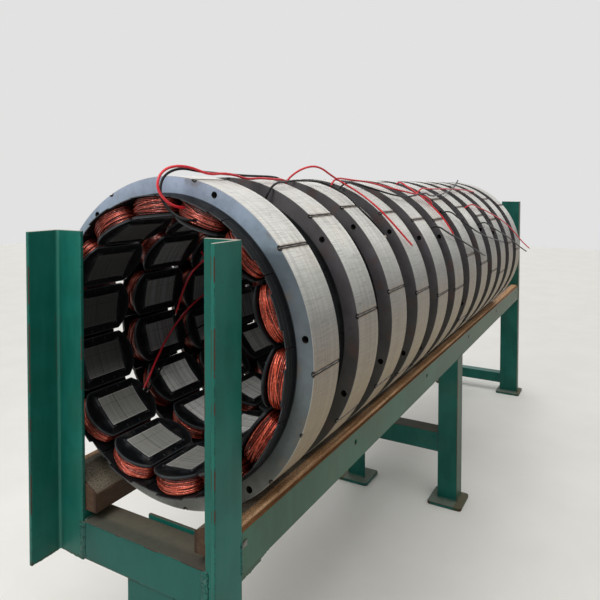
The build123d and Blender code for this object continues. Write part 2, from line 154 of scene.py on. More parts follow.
lead_routes = {
    "red_lead_1": [
        (OFF_WINDING_RED, 14.2, -69), (-74, 14.2, -69), (-112, 10.6, -38), (-112, 9.3, 0),
        (-82, 9.6, 28), (-30, 11.8, 34), (26, 14.9, 18), (80, 15.2, 24),
        (140, 15.4, 20), (196, 15.3, 9), (262, 15.8, 14), (330, 16.2, 12),
        (392, 15.9, 12), (426, 15.4, -6), (426, 15.4, ON_FLANGE),
    ],
    "black_lead_1": [
        (OFF_WINDING_BLACK, 21.6, -86), (-62, 21.6, -86), (-76, 16.8, -88), (-84, 10.2, -66),
        (-90, 8, -32), (-74, 7.4, 6), (-28, 8.6, 26), (30, 11, 19),
        (90, 12.2, 18), (155, 12.4, 16), (222, 12.4, 14), (290, 12.6, 14),
        (355, 12.9, 14), (402, 13.1, 10), (430, 12.8, -8), (430, 12.8, ON_FLANGE),
    ],
    "red_lead_2": [
        (472, 10.5, ON_FLANGE), (472, 10.5, -6), (492, 14, 38), (530, 17, 63),
        (585, 18.2, 60), (645, 19.4, 40), (700, 22.8, 22), (728, 30, 15),
        (730, 39, 14), (740, 48, 13), (762, 56.5, 13), (800, 62.5, 12),
    ],
    "black_lead_2": [
        (236, 22.5, ON_FLANGE), (236, 22.5, -8), (268, 22, 17), (330, 20.8, 15),
        (395, 19.8, 18), (460, 19, 16), (530, 18.6, 15), (592, 20.4, 14),
        (614, 27, 13), (600, 34.4, 13), (582, 41.5, 13), (594, 48.5, 13),
        (612, 55.5, 12),
    ],
    "red_lead_3": [
        (734, 15.6, ON_FLANGE), (734, 15.6, -6), (768, 15.4, 20), (835, 15.3, 18),
        (905, 16.4, 15), (975, 18.8, 17), (1040, 22, 15), (1100, 25.6, 14),
        (1160, 29, 15), (1222, 32, 17), (1284, 35.4, 22), (1345, 39.4, 28),
        (1406, 42.6, -4), (1406, 42.6, ON_FLANGE),
    ],
    "black_lead_3": [
        (724, 20.8, ON_FLANGE), (724, 20.8, -6), (762, 21.2, 20), (826, 22.2, 16),
        (888, 25.4, 15), (945, 29.8, 15), (1010, 33.2, 15), (1080, 35, 15),
        (1150, 35.8, 17), (1220, 36.1, 24), (1290, 36.3, 36), (1360, 36.2, 34),
        (1430, 36, 20), (1505, 36, 15), (1580, 35.4, 15), (1660, 34.7, 15),
        (1740, 33.7, 15), (1820, 32.6, 15), (1900, 31.5, 17), (1975, 30.2, 24),
        (2040, 28.7, 32), (2100, 27.1, 43), (2155, 25.6, 55),
    ],
    "red_lead_4": [
        (1404, 16, ON_FLANGE), (1404, 16, -6), (1378, 18.4, 20), (1352, 24.5, 16),
        (1342, 32, 14), (1338, 40, 12), (1345, 48, 12), (1352, 55.5, 12),
        (1360, 62.5, 10),
    ],
    "red_lead_5": [
        (1474, 27.2, ON_FLANGE), (1474, 27.2, -6), (1508, 27.6, 18), (1585, 28.2, 15),
        (1665, 28.4, 16), (1745, 28.3, 14), (1830, 28.1, 15), (1915, 28.3, 14),
        (2000, 28.7, 14), (2085, 29, 15), (2170, 29.7, 14), (2250, 30.4, 15),
        (2330, 31.6, 14), (2400, 33, 12),
    ],
    "black_lead_4": [
        (1152, 55.2, ON_FLANGE), (1152, 55.2, -6), (1186, 57, 20), (1250, 60, 16),
        (1320, 63.2, 14), (1390, 66, 15), (1460, 69, 15), (1530, 71.7, 15),
        (1600, 74.6, 14), (1670, 77, 14), (1735, 79.3, 12), (1795, 80.8, 10),
    ],
    "black_lead_5": [
        (1464, 46.8, ON_FLANGE), (1464, 46.8, -6), (1500, 49.4, 20), (1555, 53.6, 16),
        (1615, 57.8, 15), (1680, 61.4, 15), (1750, 64.9, 15), (1825, 67.4, 15),
        (1905, 69.8, 15), (1985, 71.4, 15), (2065, 73.2, 15), (2145, 74.7, 15),
        (2225, 76.4, 14), (2300, 77.7, 12),
    ],
    "red_lead_6": [
        (1968, 45, ON_FLANGE), (1968, 45, -6), (2004, 46, 20), (2070, 48.2, 16),
        (2140, 50.4, 15), (2210, 53, 15), (2280, 55.4, 15), (2350, 58.3, 15),
        (2420, 61, 15), (2490, 64.1, 15), (2555, 67.4, 16), (2615, 71.2, 18),
        (2665, 75.6, 24), (2702, 79.8, 34), (2730, 83.6, 50), (2750, 87, 74),
    ],
    "black_lead_6": [
        (1964, 59.6, ON_FLANGE), (1964, 59.6, -6), (2000, 60.8, 20), (2065, 63.2, 16),
        (2135, 65.6, 15), (2205, 68.2, 15), (2280, 70.4, 15), (2360, 72.9, 15),
        (2440, 75.2, 15), (2520, 78.4, 16), (2595, 81.3, 19), (2660, 84.3, 26),
        (2715, 87, 38), (2760, 89.6, 56),
    ],
    "red_lead_7": [
        (490, -57.96, IN_BORE), (490, -57.96, -142), (478, -64.5, -130), (458, -71, -122),
        (440, -79, -120), (420, -87.5, -120), (396, -96, -119),
    ],
    "red_lead_8": [
        (662, -83.67, IN_BORE), (662, -83.67, -142), (608, -85.4, -133), (548, -88.2, -126),
        (486, -92.5, -124), (428, -97.8, -122), (376, -103.6, -121), (326, -109.6, -120),
        (280, -115.8, -120), (236, -121.6, -120), (196, -127.2, -120), (160, -131.4, -119),
    ],
    "black_lead_7": [
        (662, -109.39, IN_BORE), (662, -109.39, -142), (606, -108, -133), (546, -107.8, -126),
        (486, -109, -124), (426, -111.2, -122), (368, -115, -121), (312, -119.6, -120),
        (260, -124.6, -120), (212, -129.4, -120), (168, -133.6, -119),
    ],
}
lead_lengths = {
    "red_lead_1": 0.724, "red_lead_2": 0.663, "red_lead_3": 0.804, "red_lead_4": 0.433,
    "red_lead_5": 0.972, "red_lead_6": 0.926, "red_lead_7": 0.257, "red_lead_8": 0.602,
    "black_lead_1": 0.726, "black_lead_2": 0.685, "black_lead_3": 1.508,
    "black_lead_4": 0.719, "black_lead_5": 0.923, "black_lead_6": 0.882,
    "black_lead_7": 0.552,
}
# these come back to another coil; the rest end in a bare, tinned tip
joined_leads = ("red_lead_1", "black_lead_1", "red_lead_3")


def lead_point(place):
    """Point of a lead's route, in metres in the frame."""
    y, angle, height = place
    return on_ring(y / 1000 - ROW_MIDDLE, angle, CORE_RADIUS + height / 1000)


def bare_tip(name, route):
    """The tinned strands that stick out of a cut end, as a short round stub."""
    end = lead_point(route[-1])
    along = (end - lead_point(route[-2])).normalized()
    side = along.orthogonal().normalized()
    over = along.cross(side)
    points = []
    for reach, radius in TIP_RINGS:
        for turn in range(TIP_SIDES):
            angle = turn * 2 * pi / TIP_SIDES
            points.append(end + along * reach + (side * cos(angle) + over * sin(angle)) * radius)
    faces = []
    for first in (0, TIP_SIDES):
        for turn in range(TIP_SIDES):
            this, other = first + turn, first + (turn + 1) % TIP_SIDES
            faces.append([this, other, other + TIP_SIDES, this + TIP_SIDES])
    faces += [list(range(TIP_SIDES - 1, -1, -1)), list(range(2 * TIP_SIDES, 3 * TIP_SIDES))]
    mesh = bpy.data.meshes.new("tip_" + name)
    mesh.from_pydata(points, [], faces)
    tip = into_scene("tip_" + name, mesh)
    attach(tip, "root")
    return tip


# %% Draw the leads
leads = {}
tips = {}
for name, route in lead_routes.items():
    if name not in joined_leads:
        tips[name] = bare_tip(name, route)
    curve = bpy.data.curves.new(name + "_line", "CURVE")
    curve.dimensions = "3D"
    spline = curve.splines.new("NURBS")
    spline.points.add(len(route) - 1)
    for point, place in zip(spline.points, route):
        point.co = (*lead_point(place), 1.0)
        point.radius = LEAD_DIAMETER / 2
    spline.order_u = 3
    spline.use_endpoint_u = True
    spline.resolution_u = 6
    curve.bevel_depth = 1.0
    curve.bevel_resolution = 2
    curve.use_fill_caps = True
    lead = into_scene("wire_" + name, curve)
    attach(lead, "root")
    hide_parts(name)
    lead_point(route[0])
    "object" if name in joined_leads else "bare"
    [tips[name]] if name in tips else []
    leads[name] = lead
print(len(leads), "leads,", round(sum(lead_lengths.values()), 2), "m of wire")

# %% [markdown]
# ## Shader maths in plain expressions
#
# A finish is a web of nodes, and drawing it link by link hides what it says. One
# small class wraps an output socket and lets ordinary arithmetic add the Math
# nodes, so a mask reads like a formula. A second one holds the material and has
# a single method that makes any other node.

# %% Values and finishes
class Value:
    """An output socket that takes part in arithmetic."""

    def __init__(self, finish, socket):
        self.finish = finish
        self.socket = socket

    def math(self, operation, *others):
        """Any other Math node with this value first."""
        inputs = dict(enumerate((self, *others)))
        return self.finish.make("Math", {"operation": operation}, inputs)

    def flipped(self, operation, other):
        """The same with this value second, for a number on its left."""
        inputs = {0: other, 1: self}
        return self.finish.make("Math", {"operation": operation}, inputs)

    def __add__(self, other):
        return self.math("ADD", other)

    def __sub__(self, other):
        return self.math("SUBTRACT", other)

    def __mul__(self, other):
        return self.math("MULTIPLY", other)

    def __truediv__(self, other):
        return self.math("DIVIDE", other)

    def __pow__(self, other):
        return self.math("POWER", other)

    def __rsub__(self, other):
        return self.flipped("SUBTRACT", other)

    def __rtruediv__(self, other):
        return self.flipped("DIVIDE", other)

    def __abs__(self):
        return self.math("ABSOLUTE")

    __radd__ = __add__
    __rmul__ = __mul__

    def over(self, limit):
        """1 where the value is greater than the limit, else 0."""
        return self.math("GREATER_THAN", limit)

    def between(self, low, high):
        """Rises smoothly from 0 at low to 1 at high."""
        settings = {"interpolation_type": "SMOOTHSTEP", "clamp": True}
        inputs = {"Value": self, "From Min": low, "From Max": high}
        return self.finish.make("MapRange", settings, inputs)


def srgb(red, green, blue):
    """A colour written as 0 to 255 on a screen, as light values."""
    def light(value):
        share = value / 255
        return share / 12.92 if share <= 0.04045 else ((share + 0.055) / 1.055) ** 2.4

    return (light(red), light(green), light(blue), 1.0)


class Finish:
    """A material, with one method that adds any node to it."""

    def __init__(self, name, holder=None):
        self.material = holder or bpy.data.materials.new(name)
        self.material.use_nodes = True
        self.tree = self.material.node_tree
        self.tree.nodes.clear()
        place = self.make("TexCoord", outlet="Object")
        self.place = place
        parts = self.make("SeparateXYZ", inputs={0: place})
        sockets = parts.socket.node.outputs
        self.x, self.y, self.z = (Value(self, socket) for socket in sockets)

    def make(self, kind, settings=None, inputs=None, outlet=0):
        """Adds a node: its settings first, then its sockets' values or links."""
        node = self.tree.nodes.new("ShaderNode" + kind)
        for key, value in (settings or {}).items():
            if key == "stops":
                while len(node.color_ramp.elements) < len(value):
                    node.color_ramp.elements.new(1.0)
                for element, (position, colour) in zip(node.color_ramp.elements, value):
                    element.position = position
                    element.color = colour
            else:
                setattr(node, key, value)
        for key, value in (inputs or {}).items():
            if isinstance(value, Value):
                self.tree.links.new(value.socket, node.inputs[key])
            else:
                node.inputs[key].default_value = value
        return Value(self, node.outputs[outlet])

    def mix(self, share, first, second, blend="MIX"):
        """A colour between two others."""
        settings = {"data_type": "RGBA", "blend_type": blend}
        return self.make("Mix", settings, {0: share, 6: first, 7: second}, outlet=2)

    def ramp(self, value, stops):
        """Tones that follow a value; each stop is a place from 0 to 1 and a tone."""
        stops = [(place, srgb(*tone)) for place, tone in stops]
        return self.make("ValToRGB", {"stops": stops}, {0: value})

    def stored(self, name):
        """The value that the points of the mesh carry under a name."""
        return self.make("Attribute", {"attribute_name": name}, outlet="Fac")

    def layered(self, colour, *layers):
        """The colour with tones laid over it, each given as a share and a tone."""
        for share, tone in layers:
            colour = self.mix(share, colour, tone if isinstance(tone, Value) else srgb(*tone))
        return colour

    def stretched(self, x=1.0, y=1.0, z=1.0, where=None):
        """The place on the object, scaled along each direction."""
        inputs = {0: where or self.place, 1: (x, y, z)}
        return self.make("VectorMath", {"operation": "MULTIPLY"}, inputs)

    def noise(self, scale, detail=3.0, where=None, rough=0.55):
        """Cloudy noise with values around a half."""
        inputs = {"Vector": where or self.place, "Scale": scale}
        inputs.update({"Detail": detail, "Roughness": rough})
        return self.make("TexNoise", inputs=inputs)

    def facing_up(self):
        """1 on surfaces that face the sky, 0 on the others."""
        normal = self.make("NewGeometry", outlet="Normal")
        parts = self.make("SeparateXYZ", inputs={0: normal}, outlet=2)
        return parts.between(0.6, 0.95)

    def surface(self, colour, rough, metal=0.0, height=None, depth=0.001, **fixed):
        """Ends the finish: a shader with these values, and a bump from height."""
        inputs = {"Base Color": colour, "Roughness": rough, "Metallic": metal}
        inputs.update({key.replace("_", " "): value for key, value in fixed.items()})
        if height is not None:
            bump = {"Height": height, "Distance": depth, "Strength": 1.0}
            inputs["Normal"] = self.make("Bump", inputs=bump)
        shader = self.make("BsdfPrincipled", inputs=inputs)
        self.make_output(shader)
        return self.material

    def make_output(self, shader, kind="Material"):
        """Joins the shader to the output of a material or of the world."""
        node = self.tree.nodes.new("ShaderNodeOutput" + kind)
        self.tree.links.new(shader.socket, node.inputs["Surface"])


print("the shader classes are ready")

# %% [markdown]
# ## Laminated steel
#
# A ring is a stack of thin steel sheets. Seen on its outer face the sheets' edges
# make fine lines round the ring, pale and slightly shiny, and nine welds
# across the stack have left a brown tint beside them. Its end face is one smooth
# sheet, blue-grey on the first ring and nearly black on the others. One finish
# holds both: it asks how far a point is from the ring's middle to know which it is.
# On both, painted light changes with height: a painted reflection on the crown and
# painted shade on the flanks.

# %% Steel of the rings
# painted light from the lowest point of a ring to its highest: a painted reflection
# of the roof windows on the crown, painted shade on the flanks, and warmer tones towards the
# bottom
BAND_PAINTED_LIGHT = [
    (0.0, (134, 110, 82)), (0.20, (143, 121, 91)), (0.33, (157, 142, 116)),
    (0.52, (152, 144, 136)), (0.61, (153, 153, 152)), (0.72, (205, 207, 207)),
    (0.80, (252, 253, 253)), (0.93, (232, 232, 232)),
]
FACE_PAINTED_LIGHT = [
    (0.05, (152, 154, 149)), (0.15, (126, 127, 122)), (0.23, (87, 93, 91)),
    (0.40, (97, 105, 107)), (0.60, (98, 106, 112)), (0.785, (90, 101, 110)),
    (0.81, (138, 155, 169)), (0.97, (154, 166, 187)),
]
NEXT_FACES_PAINTED_LIGHT = [
    (0.20, (69, 67, 61)), (0.45, (80, 77, 75)), (0.68, (93, 90, 94)),
    (0.85, (87, 84, 86)),
]
EDGE_DENTS = (11.7, 112, 132)
HOLES_FROM, HOLES_TO = 0.4100, 0.4335
HALF_LENGTH = CORE_LENGTH / 2


def ring_steel(number):
    """Finish of one ring's core: pale edge, dark end faces, grey tooth tips."""
    steel = Finish(f"laminated_steel_{number + 1:02d}")
    up = steel.z - AXIS_HEIGHT
    radius = (steel.x * steel.x + up * up) ** 0.5
    clock = steel.x.math("ARCTAN2", up)
    along = steel.y - ring_middle(number)
    face = abs(along).over(HALF_LENGTH - 0.0003)

    # round coordinates: turn angle, place along the row, radius
    round_place = steel.make("CombineXYZ", inputs={0: clock, 1: steel.y, 2: radius})
    sheets = steel.noise(1.0, 2.0, steel.stretched(2.0, 900.0, 1.0, round_place))
    packets = steel.noise(1.0, 3.0, steel.stretched(1.2, 130.0, 3.0, round_place))
    drawn = steel.noise(1.0, 2.0, steel.stretched(330.0, 14.0, 3.0, round_place))
    runs = steel.noise(1.0, 4.0, steel.stretched(5.0, 70.0, 3.0, round_place))
    patches = steel.noise(9.0, 4.0)
    blots = steel.noise(38.0, 3.0)
    grit = steel.noise(260.0, 3.0)

    # distance to the nearest weld across the stack, in metres round the ring
    step = radians(360 / SEAM_COUNT)
    turned = clock - radians(RING_TURNS[number] + FIRST_SEAM) + step / 2
    nearest = turned.math("FLOORED_MODULO", step) - step / 2
    from_weld = abs(nearest) * CORE_RADIUS
    wander = (steel.noise(60.0, 3.0) - 0.5) * 0.010
    heat = 1 - (from_weld + wander).between(0.004, 0.013)
    # painted shade in the groove beside each weld bead
    groove_shade = 1 - (from_weld + wander * 0.25).between(0.0044, 0.0066)
    smear = (1 - (from_weld + wander * 2).between(0.01, 0.06)) * runs.between(0.45, 0.75)

    # the band: sheets, packets, marks of drawing and stains, then the painted light by height
    silver = steel.layered(
        steel.mix(sheets, srgb(214, 212, 206), srgb(254, 253, 247)),
        (packets.between(0.35, 0.65) * 0.6, (197, 194, 186)),
        (drawn.between(0.50, 0.64) * 0.55, (172, 170, 163)),
        (patches.between(0.5, 0.8) * 0.35, (231, 216, 193)),
        (blots.between(0.66, 0.74) * 0.45, (112, 103, 92)),
        (grit.between(0.66, 0.74) * 0.35, (96, 90, 84)),
    )
    height = (up + CORE_RADIUS) / (2 * CORE_RADIUS)
    painted_light = steel.ramp(height, BAND_PAINTED_LIGHT)
    silver = steel.layered(
        steel.mix(1.0, silver, painted_light, "MULTIPLY"),
        (smear * 0.45, (118, 102, 84)),
        (heat * 0.6, (134, 112, 88)),
        (groove_shade * 0.9, (48, 38, 31)),
    )

    # the end faces: painted light by height on a cloudy sheet with stains, a painted highlight on
    # the rim and a painted shadow in the gap at the yoke
    face_painted_light = steel.ramp(height, FACE_PAINTED_LIGHT if number == 0 else NEXT_FACES_PAINTED_LIGHT)
    shade = srgb(204, 204, 200)
    sheet = steel.mix((1 - patches.between(0.35, 0.65)) * 0.5, face_painted_light, shade, "MULTIPLY")
    sheet = steel.mix(blots.between(0.48, 0.62) * 0.25, sheet, shade, "MULTIPLY")
    stained = (steel.noise(14.0, 5.0) + radius * 0.2).between(0.62, 0.74)
    # a painted highlight along the outer edge of the face
    rim = radius.between(CORE_RADIUS - 0.0022, CORE_RADIUS - 0.0004)
    # a painted shadow in the gap between the face and the bobbin wall
    gap_shadow = 1 - radius.between(CORE_BORE + 0.0012, CORE_BORE + 0.0030)
    sheet = steel.layered(
        sheet,
        (stained * 0.45, (112, 98, 84) if number == 0 else (92, 70, 64)),
        (grit.between(0.62, 0.72) * 0.35, (58, 52, 48)),
        (rim * 0.6, (186, 183, 176)),
        (gap_shadow * 0.85, (22, 22, 24)),
    )

    # the tooth tips, and the walls of the bolt holes, which lie in their own shade
    tip = 1 - radius.between(TOOTH_TIP + 0.006, TOOTH_TIP + 0.012)
    tooth = tooth_colour(steel, number, clock, up, along, sheets, packets, drawn)
    in_hole = radius.between(HOLES_FROM - 0.0005, HOLES_FROM + 0.0005)
    in_hole = in_hole * (1 - radius.between(HOLES_TO - 0.0005, HOLES_TO + 0.0005))
    stack = steel.layered(steel.mix(tip, silver, tooth), (in_hole * 0.92, (20, 19, 18)))
    colour = steel.mix(face, stack, sheet)

    # every weld starts at the front edge in a notch, painted as a dark disc of burn and painted
    # shade, and the first ring has dents painted the same way
    inward, back = CORE_RADIUS - radius, along + HALF_LENGTH
    off_edge = inward * inward + back * back
    notch_shade = (from_weld * from_weld + off_edge) ** 0.5
    for dent in EDGE_DENTS if number == 0 else ():
        off_dent = (clock - radians(dent)) * CORE_RADIUS
        notch_shade = notch_shade.math("MINIMUM", (off_dent * off_dent + off_edge) ** 0.5 * 1.3)
    notch_shade = 1 - (notch_shade + wander * 0.5).between(0.0066, 0.0090)
    colour = steel.layered(colour, (notch_shade * 0.97, (13, 11, 10)))
    low = (0 - up).between(-0.10, 0.32)
    rough = 0.36 + sheets * 0.14 + face * 0.08 + low * 0.1
    lines = (sheets * 0.5 + packets * 0.3 + drawn * 0.3) * (1 - face) + blots * 0.3
    return steel.surface(
        colour, rough, 0.12, height=lines, depth=0.00035, Specular_IOR_Level=0.35
    )


def line_at(value, middle, width):
    """1 on a thin line where the value is near the middle, 0 beside it."""
    return 1 - abs(value - middle).between(0.0004, width)


def tooth_colour(steel, number, clock, up, along, sheets, packets, drawn):
    """Grey of a tooth tip: fine sheets, a joint between two packets, painted highlights on the
    edges, and painted shade on the tips that look down or sideways.
    """
    step = radians(TOOTH_STEP)
    turned = clock - radians(RING_TURNS[number] + FIRST_TOOTH) + step / 2
    across = (turned.math("FLOORED_MODULO", step) - step / 2) * TOOTH_TIP
    joint = line_at(along, -0.0133, 0.0014)
    scratches = line_at(across, 0.019, 0.0013) + line_at(across, -0.031, 0.0010) * 0.7
    # painted highlights along the ends and sides of a tip
    end = abs(along).between(HALF_LENGTH - 0.0022, HALF_LENGTH - 0.0008)
    side = abs(across).between(0.0418, 0.0432)
    edge = (end + side * 0.6).math("MINIMUM", 1.0)
    if number == 0:
        dull, bright, unlit = srgb(111, 111, 106), srgb(148, 148, 143), srgb(132, 132, 135)
    else:
        dull, bright, unlit = srgb(188, 188, 184), srgb(236, 236, 233), srgb(160, 160, 164)
    tooth = steel.layered(
        steel.mix(sheets.between(0.3, 0.7), dull, bright),
        (packets.between(0.4, 0.6) * 0.5, (146, 144, 137)),
        (drawn.between(0.5, 0.75) * 0.4, (110, 108, 102)),
        (joint * 0.7, (44, 43, 40)),
        (scratches * drawn.between(0.3, 0.5) * 0.5, (58, 56, 52)),
        (edge * 0.8, (222, 220, 214)),
    )
    # tips that look down or sideways get painted shade, the lower ones, which look up, keep their
    # grey
    tip_shade = 1 - (0 - up).between(0.11, 0.20)
    return steel.mix(tip_shade, tooth, unlit, "MULTIPLY")


for number in range(RING_COUNT):
    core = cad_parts[f"stator_core_{number + 1:02d}"]
    core.data.materials.clear()
    core.data.materials.append(ring_steel(number))
print("steel on", RING_COUNT, "rings")

# %% [markdown]
# ## Meshes from number arrays
#
# The coils and bobbins are many alike pieces, so each is worked out once as an
# array of points in the frame of its own tooth and then copied round the ring
# and along the row with one multiplication. A small builder collects such
# points and faces and makes one mesh of them.

# %% A builder for meshes
class Shape:
    """Points and faces that are collected into one mesh."""

    def __init__(self):
        self.points = []
        self.faces = []
        self.values = []
        self.count = 0

    def add(self, points, faces, values=None):
        """Adds a set of points and the faces between them."""
        points = np.asarray(points, float).reshape(-1, 3)
        self.points.append(points)
        self.faces.extend([[index + self.count for index in face] for face in faces])
        given = np.zeros(len(points)) if values is None else np.asarray(values, float)
        self.values.append(given)
        self.count += len(points)

    def piece(self, name, material, slot=None, smooth=True, value_name=None, closed=False):
        """Makes the mesh and its object, which rides on the frame."""
        mesh = bpy.data.meshes.new(name)
        mesh.from_pydata(np.concatenate(self.points).tolist(), [], self.faces)
        if closed:
            shape = bmesh.new()
            shape.from_mesh(mesh)
            bmesh.ops.recalc_face_normals(shape, faces=shape.faces)
            shape.to_mesh(mesh)
            shape.free()
        mesh.polygons.foreach_set("use_smooth", [smooth] * len(mesh.polygons))
        if value_name:
            attribute = mesh.attributes.new(value_name, "FLOAT", "POINT")
            attribute.data.foreach_set("value", np.concatenate(self.values))
        mesh.materials.append(material)
        mesh.update()
        made = into_scene(name, mesh)
        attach(made, "root")
        return made


def grid_faces(rows, columns, closed_rows=False, closed_columns=False):
    """Four-sided faces of a grid of points, numbered row by row."""
    faces = []
    for row in range(rows if closed_rows else rows - 1):
        for column in range(columns if closed_columns else columns - 1):
            next_row = (row + 1) % rows
            next_column = (column + 1) % columns
            faces.append([
                row * columns + column,
                row * columns + next_column,
                next_row * columns + next_column,
                next_row * columns + column,
            ])
    return faces


def corners(low, high, low_side, high_side):
    """The four corners of a rectangle, in turn."""
    return [(low, low_side), (high, low_side), (high, high_side), (low, high_side)]


def tooth_points(local, ring, tooth):
    """Points (across, along, out) of a tooth's own frame, placed on the ring."""
    turn = radians(FIRST_TOOTH + tooth * TOOTH_STEP + RING_TURNS[ring])
    across, along, out = np.asarray(local, float).reshape(-1, 3).T
    x = out * sin(turn) + across * cos(turn)
    z = AXIS_HEIGHT + out * cos(turn) - across * sin(turn)
    return np.stack([x, along + ring_middle(ring), z], 1)


def triangles(made):
    """How many triangles an object's mesh has."""
    return sum(len(polygon.vertices) - 2 for polygon in made.data.polygons)


print("the mesh builder is ready")

# %% [markdown]
# ## Weld beads
#
# Nine welds hold each stack of sheets together, laid in grooves across its outer
# face, and heavier ones join the rack. A weld is a row of small frozen ripples
# that swells where the welder started. The bead is a tube of points along a
# line, whose width and height ripple, and a seed for each makes no two alike.

# %% A weld bead
def weld_bead(rng, start, end, out, half_width, height, steps, swell=1.0):
    """Points of a rippled ridge between two places, and a tone for each point that holds painted
    light: bright on the crest and the swell, shaded on the flanks.
    """
    start, end, out = (np.array(vector, float) for vector in (start, end, out))
    out /= np.linalg.norm(out)
    run = end - start
    length = np.linalg.norm(run)
    across = np.cross(run / length, out)
    share = np.linspace(0, 1, steps)
    ripple = np.abs(np.sin(share * length / (half_width * 0.9) * pi / 2 + rng.uniform(0, pi)))
    bulb = 1 + swell * np.exp(-((share * length / (half_width * 1.4)) ** 2))
    bulb += 0.4 * swell * np.exp(-(((1 - share) * length / (half_width * 1.2)) ** 2))
    close = np.clip(np.minimum(share, 1 - share) * steps / 1.5, 0.15, 1)
    wide = half_width * (0.82 + 0.14 * ripple + rng.uniform(-0.1, 0.1, steps)) * bulb * close
    tall = height * (0.70 + 0.30 * ripple + rng.uniform(-0.1, 0.1, steps)) * bulb * close
    drift = np.cumsum(rng.uniform(-1, 1, steps)) * half_width * 0.04
    rows = []
    for turn in np.linspace(0, pi, 6):
        rows.append(
            start + run * share[:, None] + across * (drift + wide * cos(turn))[:, None]
            + out * (tall * sin(turn))[:, None]
        )
    rows.append(start + run * share[:, None] + across * drift[:, None] - out * height * 0.3)
    grid = np.array(rows)
    # painted light: the crest of each ripple and the swell at the start are bright, the flanks
    # dark
    crest_highlight = (0.5 + 0.5 * ripple) * (0.55 + 0.45 * np.clip(bulb - 1, 0, 1))
    tones = np.concatenate(
        [crest_highlight * sin(turn) for turn in np.linspace(0, pi, 6)] + [np.zeros(steps)]
    )
    faces = grid_faces(grid.shape[0], steps, closed_rows=True)
    faces.append([row * steps for row in range(grid.shape[0])])
    faces.append([row * steps + steps - 1 for row in reversed(range(grid.shape[0]))])
    return grid.reshape(-1, 3), faces, tones


# %% Welds across the rings
bead_steel = Finish("weld_metal")
bead_tone = bead_steel.stored("bead_tone")
bead_dirt = bead_steel.noise(220.0, 3.0)
# the bead's colour follows its painted light, from shaded flanks to a glint on the crest
bead_colour = bead_steel.layered(
    bead_steel.mix(bead_tone * bead_tone, srgb(42, 34, 28), srgb(255, 250, 240)),
    (bead_dirt.between(0.5, 0.7) * 0.45, (96, 76, 60)),
)
bead_material = bead_steel.surface(
    bead_colour, 0.34 + bead_dirt * 0.2, 0.2, height=bead_dirt, depth=0.0004
)
GROOVE_FLOOR = CORE_RADIUS - 0.0026
SEAM_HALF_WIDTH, SEAM_HEIGHT = 0.0021, 0.0023
SEAM_SEED, RACK_SEED, CUT_SEED, COIL_SEED = 5000, 7000, 7100, 1000
NEAR_RINGS = 4
seam_welds = Shape()
for ring in range(RING_COUNT):
    for seam in range(SEAM_COUNT):
        rng = np.random.default_rng(SEAM_SEED + ring * SEAM_COUNT + seam)
        angle = RING_TURNS[ring] + FIRST_SEAM + seam * 360 / SEAM_COUNT
        front = on_ring(ring_middle(ring) - HALF_LENGTH - 0.0030, angle, GROOVE_FLOOR)
        back = on_ring(ring_middle(ring) + HALF_LENGTH + 0.0006, angle, GROOVE_FLOOR)
        out = on_ring(0, angle, 1.0) - on_ring(0, angle, 0.0)
        steps = 34 if ring < NEAR_RINGS else 22
        size = SEAM_HALF_WIDTH, SEAM_HEIGHT, steps, rng.uniform(0.9, 1.6)
        seam_welds.add(*weld_bead(rng, front, back, out, *size))
made = seam_welds.piece(
    "seam_welds", bead_material, "core_steel", value_name="bead_tone", closed=True
)
print("ring welds with", triangles(made), "triangles")

# %% [markdown]
# ## Copper coils
#
# Enamelled wire is wound round each bobbin by hand, so its turns lie side by side
# but wander a little and cross here and there. A plain band with a striped bump
# would look like tape. Here the coil's side is a grid of points that runs round
# the bobbin, with nine real ridges, each a bundle of wires, and a valley between
# two of them. Slow waves move the ridges up, down, in and out, with a seed for
# every tooth so that no two are alike, and a few loose turns cross them. The grid
# also stores a tone that holds painted light: painted shade, dark in the valleys,
# and a painted highlight on the crests.

# %% Copper finish
copper = Finish("enamelled_copper")
turn_tone = copper.stored("turn_tone")
patina = copper.noise(90.0, 3.0)
# the darkest stop is the painted shade of the valleys, the brightest a painted highlight on the
# crests
copper_stops = [
    (0.0, (16, 6, 5)), (0.25, (62, 20, 15)), (0.6, (134, 45, 31)), (1.0, (218, 98, 73)),
]
# painted glints on the wires and painted shade in the gaps between them
painted_glints = copper.noise(230.0, 2.0).between(0.56, 0.68)
gap_shade = copper.noise(150.0, 3.0, rough=0.7).between(0.56, 0.66)
wire_red = copper.layered(
    copper.ramp(turn_tone, copper_stops),
    (patina.between(0.5, 0.75) * 0.4, (92, 34, 24)),
    (gap_shade * 0.55, (48, 16, 13)),
    (painted_glints * turn_tone * 0.75, (244, 160, 132)),
)
# painted light: painted shade dulls the coils near the crown, and a painted brightening lifts
# those at the right of the bore
high = copper.z.between(AXIS_HEIGHT + 0.18, AXIS_HEIGHT + 0.30)
wire_red = copper.mix(high, wire_red, srgb(212, 210, 222), "MULTIPLY")
bore_side_light = copper.x.between(0.22, 0.32) * (1 - high)
wire_red = copper.mix(bore_side_light, wire_red, (1.35, 1.2, 1.15, 1.0), "MULTIPLY")
copper_material = copper.surface(
    wire_red, 0.24 + patina * 0.14, 0.6, height=patina, depth=0.0003, Coat_Weight=0.3
)

# %% The line of a coil round its bobbin
COIL_HALF_WIDTH = 0.0706
COIL_HALF_LENGTH = 0.1081
COIL_SIDE = 0.0740
COIL_LOW = TOOTH_TIP + 0.0076
WALL_INNER = 0.3874
WIRE_SWELL = 0.0030
COIL_BACK = 0.004
LOOSE_WIRE_RADIUS = 0.0019
TURNS = 9


